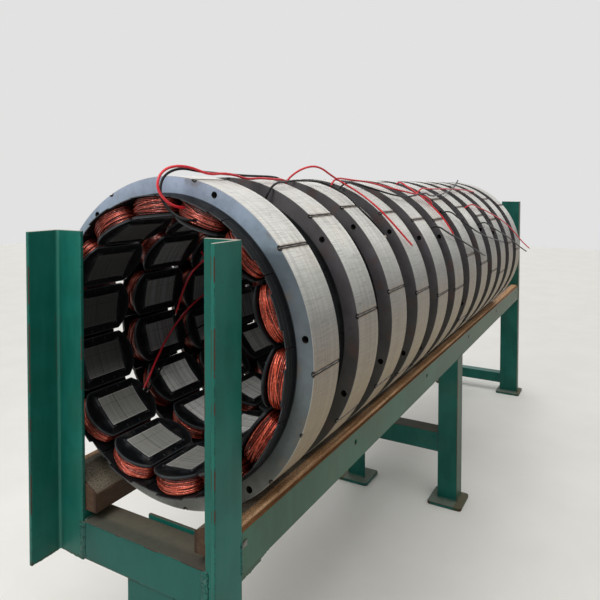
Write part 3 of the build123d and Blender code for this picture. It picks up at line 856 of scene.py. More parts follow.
def coil_path(side_steps, end_steps):
    """Points and outward directions round a coil: two straight sides, two bowed ends."""
    half_width = COIL_HALF_WIDTH - WIRE_SWELL
    crown = COIL_HALF_LENGTH - WIRE_SWELL
    bow = crown - COIL_SIDE
    radius = (half_width**2 + bow**2) / (2 * bow)
    half_turn = atan2(half_width, radius - bow)
    points = []
    outward = []
    for sign in (1, -1):
        for step in range(side_steps + 1):
            share = step / side_steps * 2 - 1
            lean = 0.35 * share if abs(share) == 1 else 0.0
            points.append((half_width * sign, COIL_SIDE * share * 0.985 * sign))
            outward.append((cos(lean) * sign, sin(lean) * sign))
        for step in range(1, end_steps):
            turn = half_turn * (1 - 2 * step / end_steps)
            points.append((radius * sin(turn) * sign, (crown - radius * (1 - cos(turn))) * sign))
            outward.append((sin(turn) * sign, cos(turn) * sign))
    return np.array(points), np.array(outward)


def coil_height(path, share):
    """Height in the coil, from 0 at the collar to 1 under the curved outer wall."""
    roof = np.sqrt(WALL_INNER**2 - path[:, 0] ** 2)
    return COIL_LOW + (roof - COIL_LOW) * share


print("a coil is", round((WALL_INNER - COIL_LOW) * 1000), "mm high,", TURNS, "turns")

# %% Wind the coils
def slow_wave(rng, steps, size):
    """A smooth closed wave of a few cycles round the coil."""
    places = np.arange(steps) / steps * 2 * pi
    wave = np.zeros(steps)
    for cycle in (1, 2, 3, 5):
        wave += np.sin(cycle * places + rng.uniform(0, 2 * pi)) * rng.uniform(0.3, 1) / cycle**0.5
    return wave * size


def wound_coil(rng, rows_per_turn, side_steps, end_steps):
    """One coil's outer side as a grid of points, with a tone for each point that holds painted
    light: highlight on the crests, shade in the valleys.
    """
    path, outward = coil_path(side_steps, end_steps)
    steps = len(path)
    pitch = 1 / TURNS
    thickness = (WALL_INNER - COIL_LOW) * pitch
    crests = [pitch * (turn + 0.5) + slow_wave(rng, steps, pitch * 0.2) for turn in range(TURNS)]
    depths = []
    for turn in range(TURNS):
        belly = 0.0022 * (1 - ((turn + 0.5) / TURNS * 2 - 1) ** 2)
        depths.append(belly + slow_wave(rng, steps, 0.0006) + rng.uniform(-0.0014, 0.0006))
    rows = [np.column_stack([path - outward * COIL_BACK, coil_height(path, -0.005)])]
    tones = [np.zeros(steps)]
    half = (rows_per_turn - 1) // 2
    for turn in range(TURNS):
        tone = rng.uniform(0.40, 0.95) + slow_wave(rng, steps, 0.08)
        tone = tone + rng.uniform(-0.14, 0.14, steps)
        below = 0.0 if turn == 0 else (crests[turn] + crests[turn - 1]) / 2
        above = 1.0 if turn == TURNS - 1 else (crests[turn] + crests[turn + 1]) / 2
        for row in range(rows_per_turn):
            share = (row - half) / (half + 0.65)
            room = crests[turn] - below if share < 0 else above - crests[turn]
            height = coil_height(path, crests[turn] + room * share)
            bulge = depths[turn] + thickness * 0.5 * (sqrt(1 - share * share) - 1)
            rows.append(np.column_stack([path + outward * bulge[:, None], height]))
            # painted light: each ridge is brightest on its crest and shaded towards its sides
            tones.append(tone * (1 - 0.45 * abs(share)))
        if turn < TURNS - 1:
            valley = np.minimum(depths[turn], depths[turn + 1]) - thickness * 0.45
            floor = path + outward * valley[:, None]
            rows.append(np.column_stack([floor, coil_height(path, above)]))
            # a valley's tone of 0 is painted shade
            tones.append(np.zeros(steps))
    rows.append(np.column_stack([path - outward * COIL_BACK, coil_height(path, 1.0)]))
    tones.append(np.zeros(steps))
    return np.array(rows), np.concatenate(tones)


def crossing_turn(rng, side_steps, end_steps, sides, far):
    """A loose turn that lies over the others and crosses them on a bowed end."""
    path, outward = coil_path(side_steps, end_steps)
    first = side_steps if far else 2 * side_steps + end_steps
    chosen = np.arange(first, first + end_steps + 2) % len(path)
    path, outward = path[chosen], outward[chosen]
    travel = np.linspace(0, 1, len(chosen))
    start, end = rng.uniform(0.1, 0.9), rng.uniform(0.1, 0.9)
    share = start + (end - start) * travel**2 * (3 - 2 * travel)
    share = np.clip(share + 0.05 * np.sin(travel * rng.uniform(3, 7)), 0.06, 0.94)
    proud = 0.0004 + 0.0022 * (1 - (share * 2 - 1) ** 2) + 0.0006 * np.sin(travel * 9)
    proud[[0, -1]] = -0.003
    middle = np.column_stack([path + outward * proud[:, None], coil_height(path, share)])
    around = np.linspace(0, 2 * pi, sides, endpoint=False)
    rows = []
    for turn in around:
        shift = np.column_stack([outward * cos(turn), np.full(len(path), sin(turn))])
        rows.append(middle + shift * LOOSE_WIRE_RADIUS)
    # painted light round the loose wire: bright on its outer side, shaded under it
    tones = np.concatenate([np.full(len(path), 0.55 + 0.45 * cos(turn)) for turn in around])
    return np.array(rows), tones * rng.uniform(0.8, 1.0)


print("the coil builders are ready")

# %% Coils on every ring
coil_thirds = {"front": range(0, 4), "middle": range(4, 8), "rear": range(8, 12)}
copper_triangles = 0
for third, rings in coil_thirds.items():
    for ring in rings:
        shown = ring in (0, RING_COUNT - 1)
        side_steps, end_steps = (4, 22) if shown else (2, 8)
        coils = Shape()
        for tooth in range(TOOTH_COUNT):
            rng = np.random.default_rng(COIL_SEED + ring * TOOTH_COUNT + tooth)
            grid, tones = wound_coil(rng, 5 if shown else 1, side_steps, end_steps)
            faces = grid_faces(*grid.shape[:2], closed_columns=True)
            placed = tooth_points(grid.reshape(-1, 3), ring, tooth)
            coils.add(placed, [face[::-1] for face in faces], tones)
            for far in (False, True):
                for _ in range(5 if shown else 2):
                    tube, tones = crossing_turn(rng, side_steps, end_steps, 6 if shown else 4, far)
                    faces = grid_faces(*tube.shape[:2], closed_rows=True)
                    coils.add(tooth_points(tube.reshape(-1, 3), ring, tooth), faces, tones)
        piece = coils.piece(
            f"coils_{ring + 1:02d}", copper_material, "copper_wire", value_name="turn_tone"
        )
        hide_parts(f"windings_{third}")
        copper_triangles += triangles(piece)
print("coils with", copper_triangles, "triangles")

# %% [markdown]
# ## Black plastic bobbins
#
# The bobbins keep the copper off the steel. Towards the bore each ends in a flat
# collar round the tooth tip. Its ends bow out past the steel like a crescent: a
# raised lip runs beside the tooth, the crescent is dished behind it, and its rim
# is thick and rounded, so it catches a line of light. The collar is worked out as
# loops round the tooth, from the window to the rim, each with its own height. At
# the yoke a curved wall with a longer middle holds the coil, and two papers lie
# behind it against the steel.

# %% Plastic finish
plastic = Finish("black_moulding")
dust = plastic.noise(30.0, 5.0).between(0.5, 0.8)
specks = plastic.noise(420.0, 2.0).between(0.62, 0.72)
# lighter lips, rims, wall ends and bosses: wear and a painted highlight
wear = plastic.stored("wear")
black = plastic.layered(
    plastic.mix(dust * 0.5, srgb(11, 12, 14), srgb(25, 26, 28)),
    (specks * 0.25, (96, 96, 94)),
    (wear * (0.5 + dust * 0.4), (86, 90, 93)),
    (plastic.facing_up() * dust * 0.25, (84, 80, 74)),
)
plastic_material = plastic.surface(
    black, 0.32 + dust * 0.2, height=plastic.noise(160.0, 3.0), depth=0.0004,
    Specular_IOR_Level=0.15,
)

# %% Loops of a collar
WINDOW_HALF_WIDTH = 0.0443
WINDOW_HALF_LENGTH = 0.0668
COLLAR_HALF_WIDTH = 0.0715
COLLAR_THICKNESS = 0.007
COLLAR_BOW_RADIUS = 0.0890
COLLAR_BOW_MIDDLE = 0.0295
COLLAR_CORNER = 0.010
RIB_HEIGHT = 0.0016


def collar_quarter(side_steps, corner_steps, end_steps):
    """Matching places on the window and the rim over a quarter of the way round."""
    reach = COLLAR_BOW_RADIUS - COLLAR_CORNER
    inset = COLLAR_HALF_WIDTH - COLLAR_CORNER
    corner_along = COLLAR_BOW_MIDDLE + sqrt(reach**2 - inset**2)
    corner_turn = atan2(inset, corner_along - COLLAR_BOW_MIDDLE)
    places = []
    for step in range(side_steps):
        share = step / side_steps
        places.append((
            WINDOW_HALF_WIDTH, WINDOW_HALF_LENGTH * share, 1.0, 0.0,
            COLLAR_HALF_WIDTH, corner_along * share, 1.0, 0.0,
        ))
    for step in range(corner_steps + 1):
        share = step / corner_steps
        lean = pi / 2 * share
        turn = pi / 2 - (pi / 2 - corner_turn) * share
        places.append((
            WINDOW_HALF_WIDTH, WINDOW_HALF_LENGTH, cos(lean), sin(lean),
            inset + COLLAR_CORNER * sin(turn), corner_along + COLLAR_CORNER * cos(turn),
            sin(turn), cos(turn),
        ))
    for step in range(1, end_steps + 1):
        share = step / end_steps
        turn = corner_turn * (1 - share)
        places.append((
            WINDOW_HALF_WIDTH * (1 - share), WINDOW_HALF_LENGTH, 0.0, 1.0,
            COLLAR_BOW_RADIUS * sin(turn), COLLAR_BOW_MIDDLE + COLLAR_BOW_RADIUS * cos(turn),
            sin(turn), cos(turn),
        ))
    return np.array(places)


def collar_loops(side_steps, corner_steps, end_steps):
    """The quarter, mirrored to a whole turn: window, its direction, rim, its direction."""
    quarter = collar_quarter(side_steps, corner_steps, end_steps)
    across = np.array([-1, 1] * 4)
    along = np.array([1, -1] * 4)
    loop = np.concatenate([
        quarter,
        quarter[-2::-1] * across,
        quarter[1:] * -1,
        quarter[-2:0:-1] * along,
    ])
    return loop[:, 0:2], loop[:, 2:4], loop[:, 4:6], loop[:, 6:8]


def rise(value, low, high):
    """Rises smoothly from 0 at low to 1 at high."""
    share = np.clip((value - low) / (high - low), 0, 1)
    return share * share * (3 - 2 * share)


def collar_grid(side_steps, corner_steps, end_steps, fine):
    """Rows of points from the window over the crescent and the rim to the coil."""
    window, window_out, rim, rim_out = collar_loops(side_steps, corner_steps, end_steps)
    ends = rise(np.abs(rim[:, 1]), 0.070, 0.086)
    lip = 0.0004 + 0.0016 * ends
    dish = -0.0003 - 0.0024 * ends
    edge = 0.0001 + 0.0006 * ends
    flank = np.abs(rim[:, 0])
    rib = ends * rise(flank, 0.020, 0.034) * (1 - rise(flank, 0.052, 0.066)) * RIB_HEIGHT
    level = np.ones(len(ends))
    # by the window: offset, share of the lip's height, wear and highlight; the first row goes down
    near = [(0.0002, -0.004, 0.0), (0.0004, 0.9, 0.6), (0.0016, 1.0, 1.0), (0.0030, 0.9, 0.5)]
    # over the dish: share of the way to the rim, share of the depth, share of the rib
    across = [
        (0.12, 0.6, 0.0), (0.24, 0.8, 1.0), (0.36, 1.0, 0.1), (0.6, 1.0, 0.0), (0.82, 0.6, 0.0),
    ]
    if not fine:
        near = near[1:3]
        across = [across[0], across[3]]
    rows = []
    for offset, share, wear in near:
        height = lip * share if share > 0 else level * share
        rows.append((window + window_out * offset, height, ends * (wear * 0.5)))
    start = window + window_out * 0.004
    end = rim - rim_out * 0.004
    for share, depth, rib_share in across:
        height = dish * depth + rib * rib_share
        rows.append((start + (end - start) * share, height, rib / RIB_HEIGHT * rib_share * 0.25))
    # round the rim and down its outer side: offset, height, wear and highlight
    for offset, height, wear in (
        (0.0034, edge * 0.4, 0.1), (0.0014, edge, 0.6), (0.0003, edge * 0.3, 1.0),
        (0.0, level * -0.0014, 0.8), (0.0, level * (0.0008 - COLLAR_THICKNESS), 0.15),
        (0.0010, level * -COLLAR_THICKNESS, 0.0), (0.0080, level * -COLLAR_THICKNESS, 0.0),
    ):
        rows.append((rim - rim_out * offset, height, level * wear))
    points = [np.column_stack([place, TOOTH_TIP - height]) for place, height, _ in rows]
    return np.array(points), np.concatenate([wear for _, _, wear in rows])


print("collar loops:", len(collar_loops(3, 5, 8)[0]), "points round")

# %% Walls, bosses and ribs
WALL_OUTER = 0.3936
WALL_HALF_TURN = radians(TOOTH_STEP / 2) - 0.0051
WALL_REACH = HALF_LENGTH + 0.040
TAB_REACH = HALF_LENGTH + 0.049
# the two papers between the wall and the steel: inner radius and reach
PAPERS = ((WALL_OUTER - 0.0020, WALL_REACH - 0.004), (WALL_OUTER - 0.0009, WALL_REACH - 0.017))
PAPER_THICKNESS = 0.0009
PAPER_HALF_TURN = radians(TOOTH_STEP / 2) - 0.0024


def wall_grid(inner, outer, reach, tab_reach, half_turn, steps):
    """A curved wall at the yoke: loops of its section, from side to side."""
    quarter = half_turn / 2
    turns = np.concatenate([
        np.linspace(-half_turn, -quarter - 0.004, steps),
        np.linspace(-quarter + 0.002, quarter - 0.002, steps + 1),
        np.linspace(quarter + 0.004, half_turn, steps),
    ])
    rows = []
    for turn in turns:
        end = tab_reach if abs(turn) < quarter else reach
        end -= 0.0012 if abs(turn) > half_turn - 0.001 else 0.0
        section = [
            (inner, end - 0.0012), (inner + 0.0006, end), (outer - 0.0006, end),
            (outer, end - 0.0010), (outer, -end + 0.0010), (outer - 0.0006, -end),
            (inner + 0.0006, -end), (inner, -end + 0.0012),
        ]
        rows.append([(out * sin(turn), along, out * cos(turn)) for out, along in section])
    wear_one = np.array([0.0, 0.9, 0.9, 0.0, 0.0, 0.9, 0.9, 0.0])
    return np.array(rows), np.tile(wear_one, len(turns))


def boss(across, along, width, length, height):
    """A small moulded block with a narrower top, on the bore side of the collar."""
    points = []
    for level, shrink in ((0.0006, 1.0), (-height * 0.75, 0.92), (-height, 0.66)):
        for sign_x, sign_y in corners(-1, 1, -1, 1):
            points.append((
                across + sign_x * width / 2 * shrink,
                along + sign_y * length / 2 * shrink,
                TOOTH_TIP + level,
            ))
    faces = grid_faces(3, 4, closed_columns=True) + [[11, 10, 9, 8]]
    return np.array(points), [face[::-1] for face in faces]


small_parts = []
for side in (-1, 1):
    for end in (-1, 1):
        small_parts.append(boss(side * 0.0492, end * 0.0700, 0.0062, 0.0040, 0.0030))
        small_parts.append(boss(side * 0.0485, end * 0.0600, 0.0034, 0.0075, 0.0016))
        small_parts.append(boss(side * 0.0610, end * 0.0230, 0.0080, 0.0018, 0.0012))
print(len(small_parts), "bosses and ribs on a collar")

# %% Bobbins on every ring
bobbin_triangles = 0
for third, rings in coil_thirds.items():
    for ring in rings:
        fine = ring in (0, 1, RING_COUNT - 1)
        collar, collar_wear = collar_grid(*((3, 5, 9) if fine else (2, 3, 5)), fine)
        wall, wall_wear = wall_grid(
            WALL_INNER + 0.0004, WALL_OUTER - 0.0024, WALL_REACH, TAB_REACH,
            WALL_HALF_TURN, 5 if fine else 3,
        )
        papers = [
            wall_grid(inner, inner + PAPER_THICKNESS, reach, reach, PAPER_HALF_TURN, 3)
            for inner, reach in PAPERS
        ]
        collar_faces = grid_faces(*collar.shape[:2], closed_columns=True)
        wall_faces = grid_faces(*wall.shape[:2], closed_columns=True)
        paper_faces = grid_faces(*papers[0][0].shape[:2], closed_columns=True)
        wall_faces += [list(range(7, -1, -1)), list(range(len(wall_wear) - 8, len(wall_wear)))]
        bobbins = Shape()
        for tooth in range(TOOTH_COUNT):
            bobbins.add(tooth_points(collar, ring, tooth), collar_faces, collar_wear)
            bobbins.add(tooth_points(wall, ring, tooth), wall_faces, wall_wear)
            for paper, paper_wear in papers:
                bobbins.add(tooth_points(paper, ring, tooth), paper_faces, paper_wear * 0.7)
            for points, faces in small_parts if fine else small_parts[::3]:
                bobbins.add(tooth_points(points, ring, tooth), faces, np.full(len(points), 0.7))
        piece = bobbins.piece(
            f"bobbins_{ring + 1:02d}", plastic_material, "bobbin_plastic", value_name="wear",
            closed=True,
        )
        piece.data.set_sharp_from_angle(angle=radians(42))
        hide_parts(f"coil_bobbins_{third}")
        bobbin_triangles += triangles(piece)
print("bobbins with", bobbin_triangles, "triangles")

# %% [markdown]
# ## Painted steel of the rack
#
# The rack is angle iron, welded and brushed with dark green paint. Years of use
# have rubbed its edges through to rust, and brown dust lies on what faces up. Rust
# follows the edges, so the finish needs to know where they are: each member is
# copied, its edges are rounded, and every new point remembers whether it
# lies on one.

# %% Paint finish
POST_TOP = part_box("front_post_left")[1][2]
RAIL_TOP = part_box("rail_left")[1][2]
ANGLE_LEG = 0.100
paint = Finish("green_rack_paint")
# the attribute is 1 on worn edges, about 0.4 on rough cuts, -1 in the root of an angle and
# over 1.5 on welds
mark = paint.stored("edge")
bead = mark.over(1.5)
root = (0 - mark).between(0.1, 0.9)
edge = mark.math("MAXIMUM", 0.0).math("MINIMUM", 1.0) * (1 - bead)
brushed = paint.noise(1.0, 3.0, paint.stretched(40.0, 40.0, 6.0))
cloudy = paint.noise(5.0, 4.0)
chips = paint.noise(46.0, 4.0, rough=0.65)
greyed = paint.noise(2.2, 3.0).between(0.45, 0.7)
spots = paint.noise(120.0, 3.0, rough=0.7)
burnt = paint.noise(190.0, 3.0, rough=0.75)
rust_tone = paint.mix(chips, srgb(40, 31, 27), srgb(86, 58, 47))
stretch = paint.noise(1.0, 1.0, paint.stretched(4.0, 4.0, 9.0)).between(0.48, 0.56)
worn = (edge * (0.28 + stretch * 0.2) + chips * 0.5 + spots * 0.24).between(0.74, 0.79)
scars = (chips * 0.7 + cloudy * 0.3).between(0.69, 0.70)
nicked = (edge * 0.5 + spots * 0.5).between(0.74, 0.79)
grime = paint.facing_up() * (0.6 + cloudy * 0.5)
# the far beam is wiped clean, and the feet are grey with floor dust
grime = grime * (1 - paint.y.between(1.80, 1.84) * paint.z.over(0.1))
grime_tone = paint.mix(chips, srgb(82, 72, 62), srgb(104, 92, 80))
foot_tone = paint.mix(chips, srgb(88, 94, 84), srgb(116, 124, 112))
grime_tone = paint.mix(1 - paint.z.over(0.03), grime_tone, foot_tone)
# brown sawdust from the bearers lies on the top edge of the rails
sawdust = paint.facing_up() * (1 - abs(paint.z - RAIL_TOP).between(0.004, 0.008))
green = paint.layered(
    paint.mix(cloudy.between(0.35, 0.65), srgb(13, 82, 71), srgb(20, 96, 85)),
    (brushed.between(0.4, 0.7) * 0.25, (34, 106, 94)),
    (greyed * 0.3, (66, 92, 80)),
    (spots.between(0.66, 0.70) * 0.5, (22, 44, 38)),
    # a painted highlight, with some wear, in the root of each angle
    (root * (0.25 + spots * 0.4), (54, 114, 100)),
    (nicked * 0.6, (30, 32, 28)),
    (worn, rust_tone),
    (bead * burnt.between(0.53, 0.58) * 0.9, (14, 20, 18)),
    (bead * (1 - burnt.between(0.36, 0.42)) * 0.6, (112, 108, 100)),
    (scars * 0.8, (52, 44, 38)),
    (grime.math("MINIMUM", 0.94), grime_tone),
    (sawdust * 0.9, paint.mix(chips, srgb(96, 62, 38), srgb(146, 98, 60))),
)
# dust has yellowed the outer sides, and the cross member is a shade darker
beside = abs(paint.x)
on_rail = paint.z.over(RAIL_TOP - ANGLE_LEG - 0.0005)
outer_side = beside.between(0.3050, 0.3062) * paint.y.over(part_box("rail_left")[0][1])
yellowed = paint.mix(paint.y.between(-1.6, 1.8), srgb(255, 240, 222), srgb(224, 192, 146))
yellowed = paint.mix(on_rail, srgb(208, 200, 178), yellowed)
green = paint.mix(outer_side, green, yellowed, "MULTIPLY")
green = paint.layered(green, (outer_side * (0.04 + spots * 0.08), (165, 118, 84)))
cross_side = (1 - beside.between(0.2050, 0.2068)) * (1 - paint.y.between(-1.88, -1.86))
green = paint.mix(cross_side, green, srgb(214, 224, 227), "MULTIPLY")
green = paint.layered(green, (paint.z.over(POST_TOP - 0.0008) * 0.8, (176, 172, 160)))
paint_material = paint.surface(
    green,
    0.42 + worn * 0.3 + grime * 0.3,
    height=brushed * 0.4 + chips * 0.3 + spots * 0.3 - worn * 0.6,
    depth=0.0006,
    Specular_IOR_Level=0.2,
)

# %% Copy the rack's members with rounded edges
FLAT_AREA = 2.0e-4
RIM_WIDTH = 0.0035
CONVEX = 1
HOLLOW = 2
rack_nodes = [
    "rail_left", "rail_right", "front_post_left", "front_post_right", "mid_leg_left",
    "mid_leg_right", "far_post_left", "far_post_right", "front_cross_member",
    "mid_cross_beam", "far_cross_beam", "front_leg", "foot_plates",
]


def flat_groups(shape, kind):
    """Flat stretches of a member: lists of faces that lie side by side in one plane."""
    groups = []
    seen = set()
    for first in [face for face in shape.faces if face[kind] == 0]:
        if first.index in seen:
            continue
        seen.add(first.index)
        group = [first]
        for face in group:
            for edge in face.edges:
                for other in edge.link_faces:
                    level = edge.calc_face_angle(0) < radians(1) and other[kind] == 0
                    if level and other.index not in seen:
                        seen.add(other.index)
                        group.append(other)
        if sum(face.calc_area() for face in group) > FLAT_AREA:
            groups.append(group)
    return groups


def edge_marks(shape, kind):
    """Adds a narrow rim to every flat stretch, and marks the points of the edges."""
    shape.faces.ensure_lookup_table()
    shape.faces.index_update()
    for group in flat_groups(shape, kind):
        inside = set(group)
        outline = [
            edge.calc_length() for face in group for edge in face.edges
            if not all(other in inside for other in edge.link_faces)
        ]
        narrow = sum(face.calc_area() for face in group) / sum(outline)
        bmesh.ops.inset_region(
            shape, faces=group, thickness=min(RIM_WIDTH, 0.6 * narrow),
            use_even_offset=True, use_boundary=True,
        )
    layer = shape.verts.layers.float.new("edge")
    for face in shape.faces:
        for vertex in face.verts if face[kind] else ():
            vertex[layer] = 1.0 if face[kind] == CONVEX else -1.0


def rounded_copy(node, material, outer, inner=0.0):
    """A copy of a node with rounded edges, which stands for it."""
    mesh = bpy.data.meshes.new("dressed_" + node)
    shape = bmesh.new()
    shape.from_mesh(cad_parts[node].data)
    bmesh.ops.remove_doubles(shape, verts=shape.verts, dist=1e-6)
    bmesh.ops.dissolve_limit(
        shape, angle_limit=radians(1), verts=shape.verts, edges=shape.edges
    )
    kind = shape.faces.layers.int.new("kind")
    for value, offset in ((CONVEX, outer), (HOLLOW, inner)):
        chosen = [
            edge for edge in shape.edges
            if edge.calc_face_angle(0) > radians(50) and edge.is_convex == (value == CONVEX)
        ]
        if offset and chosen:
            rounded = bmesh.ops.bevel(
                shape, geom=chosen, offset=offset, segments=2 * value, profile=0.55,
                affect="EDGES", clamp_overlap=True, offset_type="OFFSET",
            )
            for face in rounded["faces"]:
                face[kind] = value
    edge_marks(shape, kind)
    shape.to_mesh(mesh)
    shape.free()
    mesh.polygons.foreach_set("use_smooth", [True] * len(mesh.polygons))
    mesh.set_sharp_from_angle(angle=radians(50))
    mesh.materials.clear()
    mesh.materials.append(material)
    made = into_scene("dressed_" + node, mesh)
    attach(made, "root")
    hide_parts(node)
    return made


for node in rack_nodes:
    rounded_copy(node, paint_material, outer=0.0018, inner=0.0078)
print(len(rack_nodes), "painted members")

# %% [markdown]
# ## Welds and rough cuts of the rack
#
# The rack was cut with a torch and welded by hand. Thick lumpy beads run down
# both ends of the front cross member and round the feet, all painted over. Under
# the front end of the right rail the cut left a ragged edge, and the bottoms of
# the front posts are uneven too. These are short strips whose lower line jumps
# from point to point. Packing plates fill the steps between the rails and the cross
# member, and the bare stub of a lug shows at the right rail's front end.

# %% Rack welds
rack_welds = Shape()
(_, FRONT, RAIL_LOW), (OUTER_X, _, RAIL_HIGH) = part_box("rail_right")
(_, POST_FACE, CROSS_LOW), (_, _, CROSS_HIGH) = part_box("front_cross_member")
(_, _, MID_BEAM_LOW), (_, _, MID_BEAM_HIGH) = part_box("mid_cross_beam")
(_, _, FAR_BEAM_LOW), (FAR_BEAM_X, _, FAR_BEAM_HIGH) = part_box("far_cross_beam")
POST_TOE_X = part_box("front_post_right")[0][0]
MID_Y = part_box("mid_leg_right")[0][1]
FAR_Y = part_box("far_post_right")[0][1]
FOOT_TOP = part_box("foot_plates")[1][2]
FOOT_WELD = (0.0055, 0.0046)
# start, end, outward direction, half width and height
weld_lines = []
for side in (-1, 1):
    toe, outer, beam = side * POST_TOE_X, side * OUTER_X, side * FAR_BEAM_X
    weld_lines += [
        ((toe, POST_FACE, CROSS_HIGH), (toe, POST_FACE, CROSS_LOW + 0.002),
         (0, -1, 0), 0.012, 0.0028),
        ((toe, FRONT, CROSS_HIGH), (toe, FRONT + 0.08, CROSS_HIGH), (0, 0, 1), 0.004, 0.003),
        ((outer, FRONT, RAIL_HIGH - 0.02), (outer, FRONT, RAIL_LOW), (side, 0, 0), 0.006, 0.0018),
        ((outer, MID_Y, RAIL_LOW), (outer, MID_Y + ANGLE_LEG, RAIL_LOW),
         (side, 0, 0), 0.0036, 0.0016),
        ((toe, MID_Y, RAIL_LOW), (outer, MID_Y, RAIL_LOW), (0, -1, -1), 0.004, 0.0034),
        ((toe, MID_Y, MID_BEAM_HIGH), (toe, MID_Y, MID_BEAM_LOW), (0, -1, 0), 0.005, 0.0024),
        ((outer, FAR_Y, RAIL_HIGH), (outer, FAR_Y, RAIL_LOW), (side, -1, 0), 0.0036, 0.0026),
        ((beam, FAR_Y, FAR_BEAM_HIGH), (beam, FAR_Y, FAR_BEAM_LOW), (0, -1, 0), 0.005, 0.0022),
        ((toe, MID_Y, FOOT_TOP), (outer, MID_Y, FOOT_TOP), (0, -1, 1), *FOOT_WELD),
        ((outer, MID_Y, FOOT_TOP), (outer, MID_Y + ANGLE_LEG, FOOT_TOP), (side, 0, 1), *FOOT_WELD),
        ((outer, FAR_Y, FOOT_TOP), (outer, FAR_Y + 0.065, FOOT_TOP), (side, 0, 1), *FOOT_WELD),
        ((beam, FAR_Y, FOOT_TOP), (outer, FAR_Y, FOOT_TOP), (0, -1, 1), *FOOT_WELD),
    ]
for count, (start, end, out, half_width, height) in enumerate(weld_lines):
    rng = np.random.default_rng(RACK_SEED + count)
    points, faces, tones = weld_bead(rng, start, end, out, half_width, height, 40, swell=0.25)
    rack_welds.add(points, faces, tones * 0.4 + 1.6)
made = rack_welds.piece(
    "rack_welds", paint_material, "rack_paint", value_name="edge", closed=True
)
print(len(weld_lines), "rack welds with", triangles(made), "triangles")

# %% Ragged cuts, packing plates and a stub
def ragged_strip(rng, start, end, depths, thickness, rough):
    """A thin plate that hangs from a line, with an uneven lower edge."""
    start, end, thickness = (np.array(vector, float) for vector in (start, end, thickness))
    steps = 36
    share = np.linspace(0, 1, steps)
    depth = np.interp(share, np.linspace(0, 1, len(depths)), depths)
    jumps = rng.uniform(-1, 1, steps) + np.repeat(rng.uniform(-1, 1, steps // 4), 4)
    depth = np.clip(depth + jumps * rough, 0.0006, None)
    line = start + (end - start) * share[:, None]
    lower = line - np.array([0, 0, 1.0]) * depth[:, None]
    grid = np.array([line, lower, lower + thickness, line + thickness])
    faces = grid_faces(4, steps, closed_rows=True)
    faces += [[0, steps, 2 * steps, 3 * steps]]
    faces += [[4 * steps - 1, 3 * steps - 1, 2 * steps - 1, steps - 1]]
    return grid.reshape(-1, 3), faces, np.full(4 * steps, 0.35)


ragged = Shape()
# how far a strip's face lies behind the face of the steel above it
SUNK = 0.0002
SIDE_X = OUTER_X - SUNK
SUNK_FACE = POST_FACE + SUNK
# start, end, depths from end to end, thickness and roughness
ragged_lines = [
    ((SIDE_X, FRONT - 0.001, RAIL_LOW + 0.001), (SIDE_X, FRONT + 0.115, RAIL_LOW + 0.001),
     (0.013, 0.011, 0.013, 0.009, 0.007, 0.003, 0.001), (-0.008, 0, 0), 0.0014),
    ((-SIDE_X, FRONT - ANGLE_LEG, CROSS_LOW), (-SIDE_X, FRONT, CROSS_LOW),
     (0.001, 0.002, 0.001), (0.0096, 0, 0), 0.0008),
    ((-OUTER_X, SUNK_FACE, CROSS_LOW), (-POST_TOE_X, SUNK_FACE, CROSS_LOW),
     (0.001, 0.001, 0.004, 0.006), (0, 0.0096, 0), 0.0008),
    ((POST_TOE_X, SUNK_FACE, CROSS_LOW), (OUTER_X, SUNK_FACE, CROSS_LOW),
     (0.004, 0.002, 0.001), (0, 0.0096, 0), 0.0010),
]
for count, (start, end, depths, thickness, rough) in enumerate(ragged_lines):
    rng = np.random.default_rng(CUT_SEED + count)
    ragged.add(*ragged_strip(rng, start, end, depths, thickness, rough))
ragged.piece(
    "ragged_cuts", paint_material, "rack_paint", smooth=False, value_name="edge", closed=True
)

packers = Shape()
# a packing plate's levels from below: inset of the outline and height
packer_levels = (
    (0.002, CROSS_HIGH), (0, CROSS_HIGH + 0.002),
    (0, RAIL_LOW - 0.0012), (0.001, RAIL_LOW - 0.0002),
)
for side in (-1, 1):
    rows = []
    for inset, level in packer_levels:
        ends_x = sorted((side * (POST_TOE_X + 0.001 + inset), side * (OUTER_X - 0.004 - inset)))
        plan = corners(*ends_x, FRONT + 0.0004 + inset, FRONT + 0.085 - inset)
        rows.append([(x, y, level) for x, y in plan])
    faces = grid_faces(4, 4, closed_columns=True) + [[3, 2, 1, 0], [12, 13, 14, 15]]
    packers.add(rows, faces, np.full(16, 0.5))
packers.piece(
    "packing_plates", paint_material, "rack_paint", smooth=False, value_name="edge", closed=True
)

# the unpainted stub of a cut lug shows at the front end of the right rail
stub_rows = []
for out, inset in ((0.0, 0.0), (0.0016, 0.0), (0.0024, 0.0012)):
    low_z, high_z = RAIL_HIGH - 0.036 + inset, RAIL_HIGH - 0.022 - inset
    section = corners(FRONT - 0.001 + inset, FRONT + 0.018 - inset, low_z, high_z)
    stub_rows.append([(OUTER_X + out, y, z) for y, z in section])
stub_faces = grid_faces(3, 4, closed_columns=True) + [[3, 2, 1, 0], [8, 9, 10, 11]]
stub = Shape()
# the stub's tones are painted light: darker at its base and darkest at its upper front corner, a
# painted shadow under the timber
stub.add(stub_rows, stub_faces, [0.1] * 4 + [0.3] * 3 + [0.0] + [0.37, 0.4, 0.34, 0.0])
stub.piece("rail_stub", bead_material, "rack_paint", False, "bead_tone", True)
print(len(ragged_lines), "ragged cuts, two packing plates and a stub")

# %% [markdown]
# ## Timber bearers
#
# Two rough sawn beams keep the rings off the steel. The wood shows its grain
# along the row in brown streaks. Beside the rings it is grey with dust and with the
# painted shadow of the rings, and the strip along the rail is rubbed bare.
# Stretching the noise along the beam gives the grain.

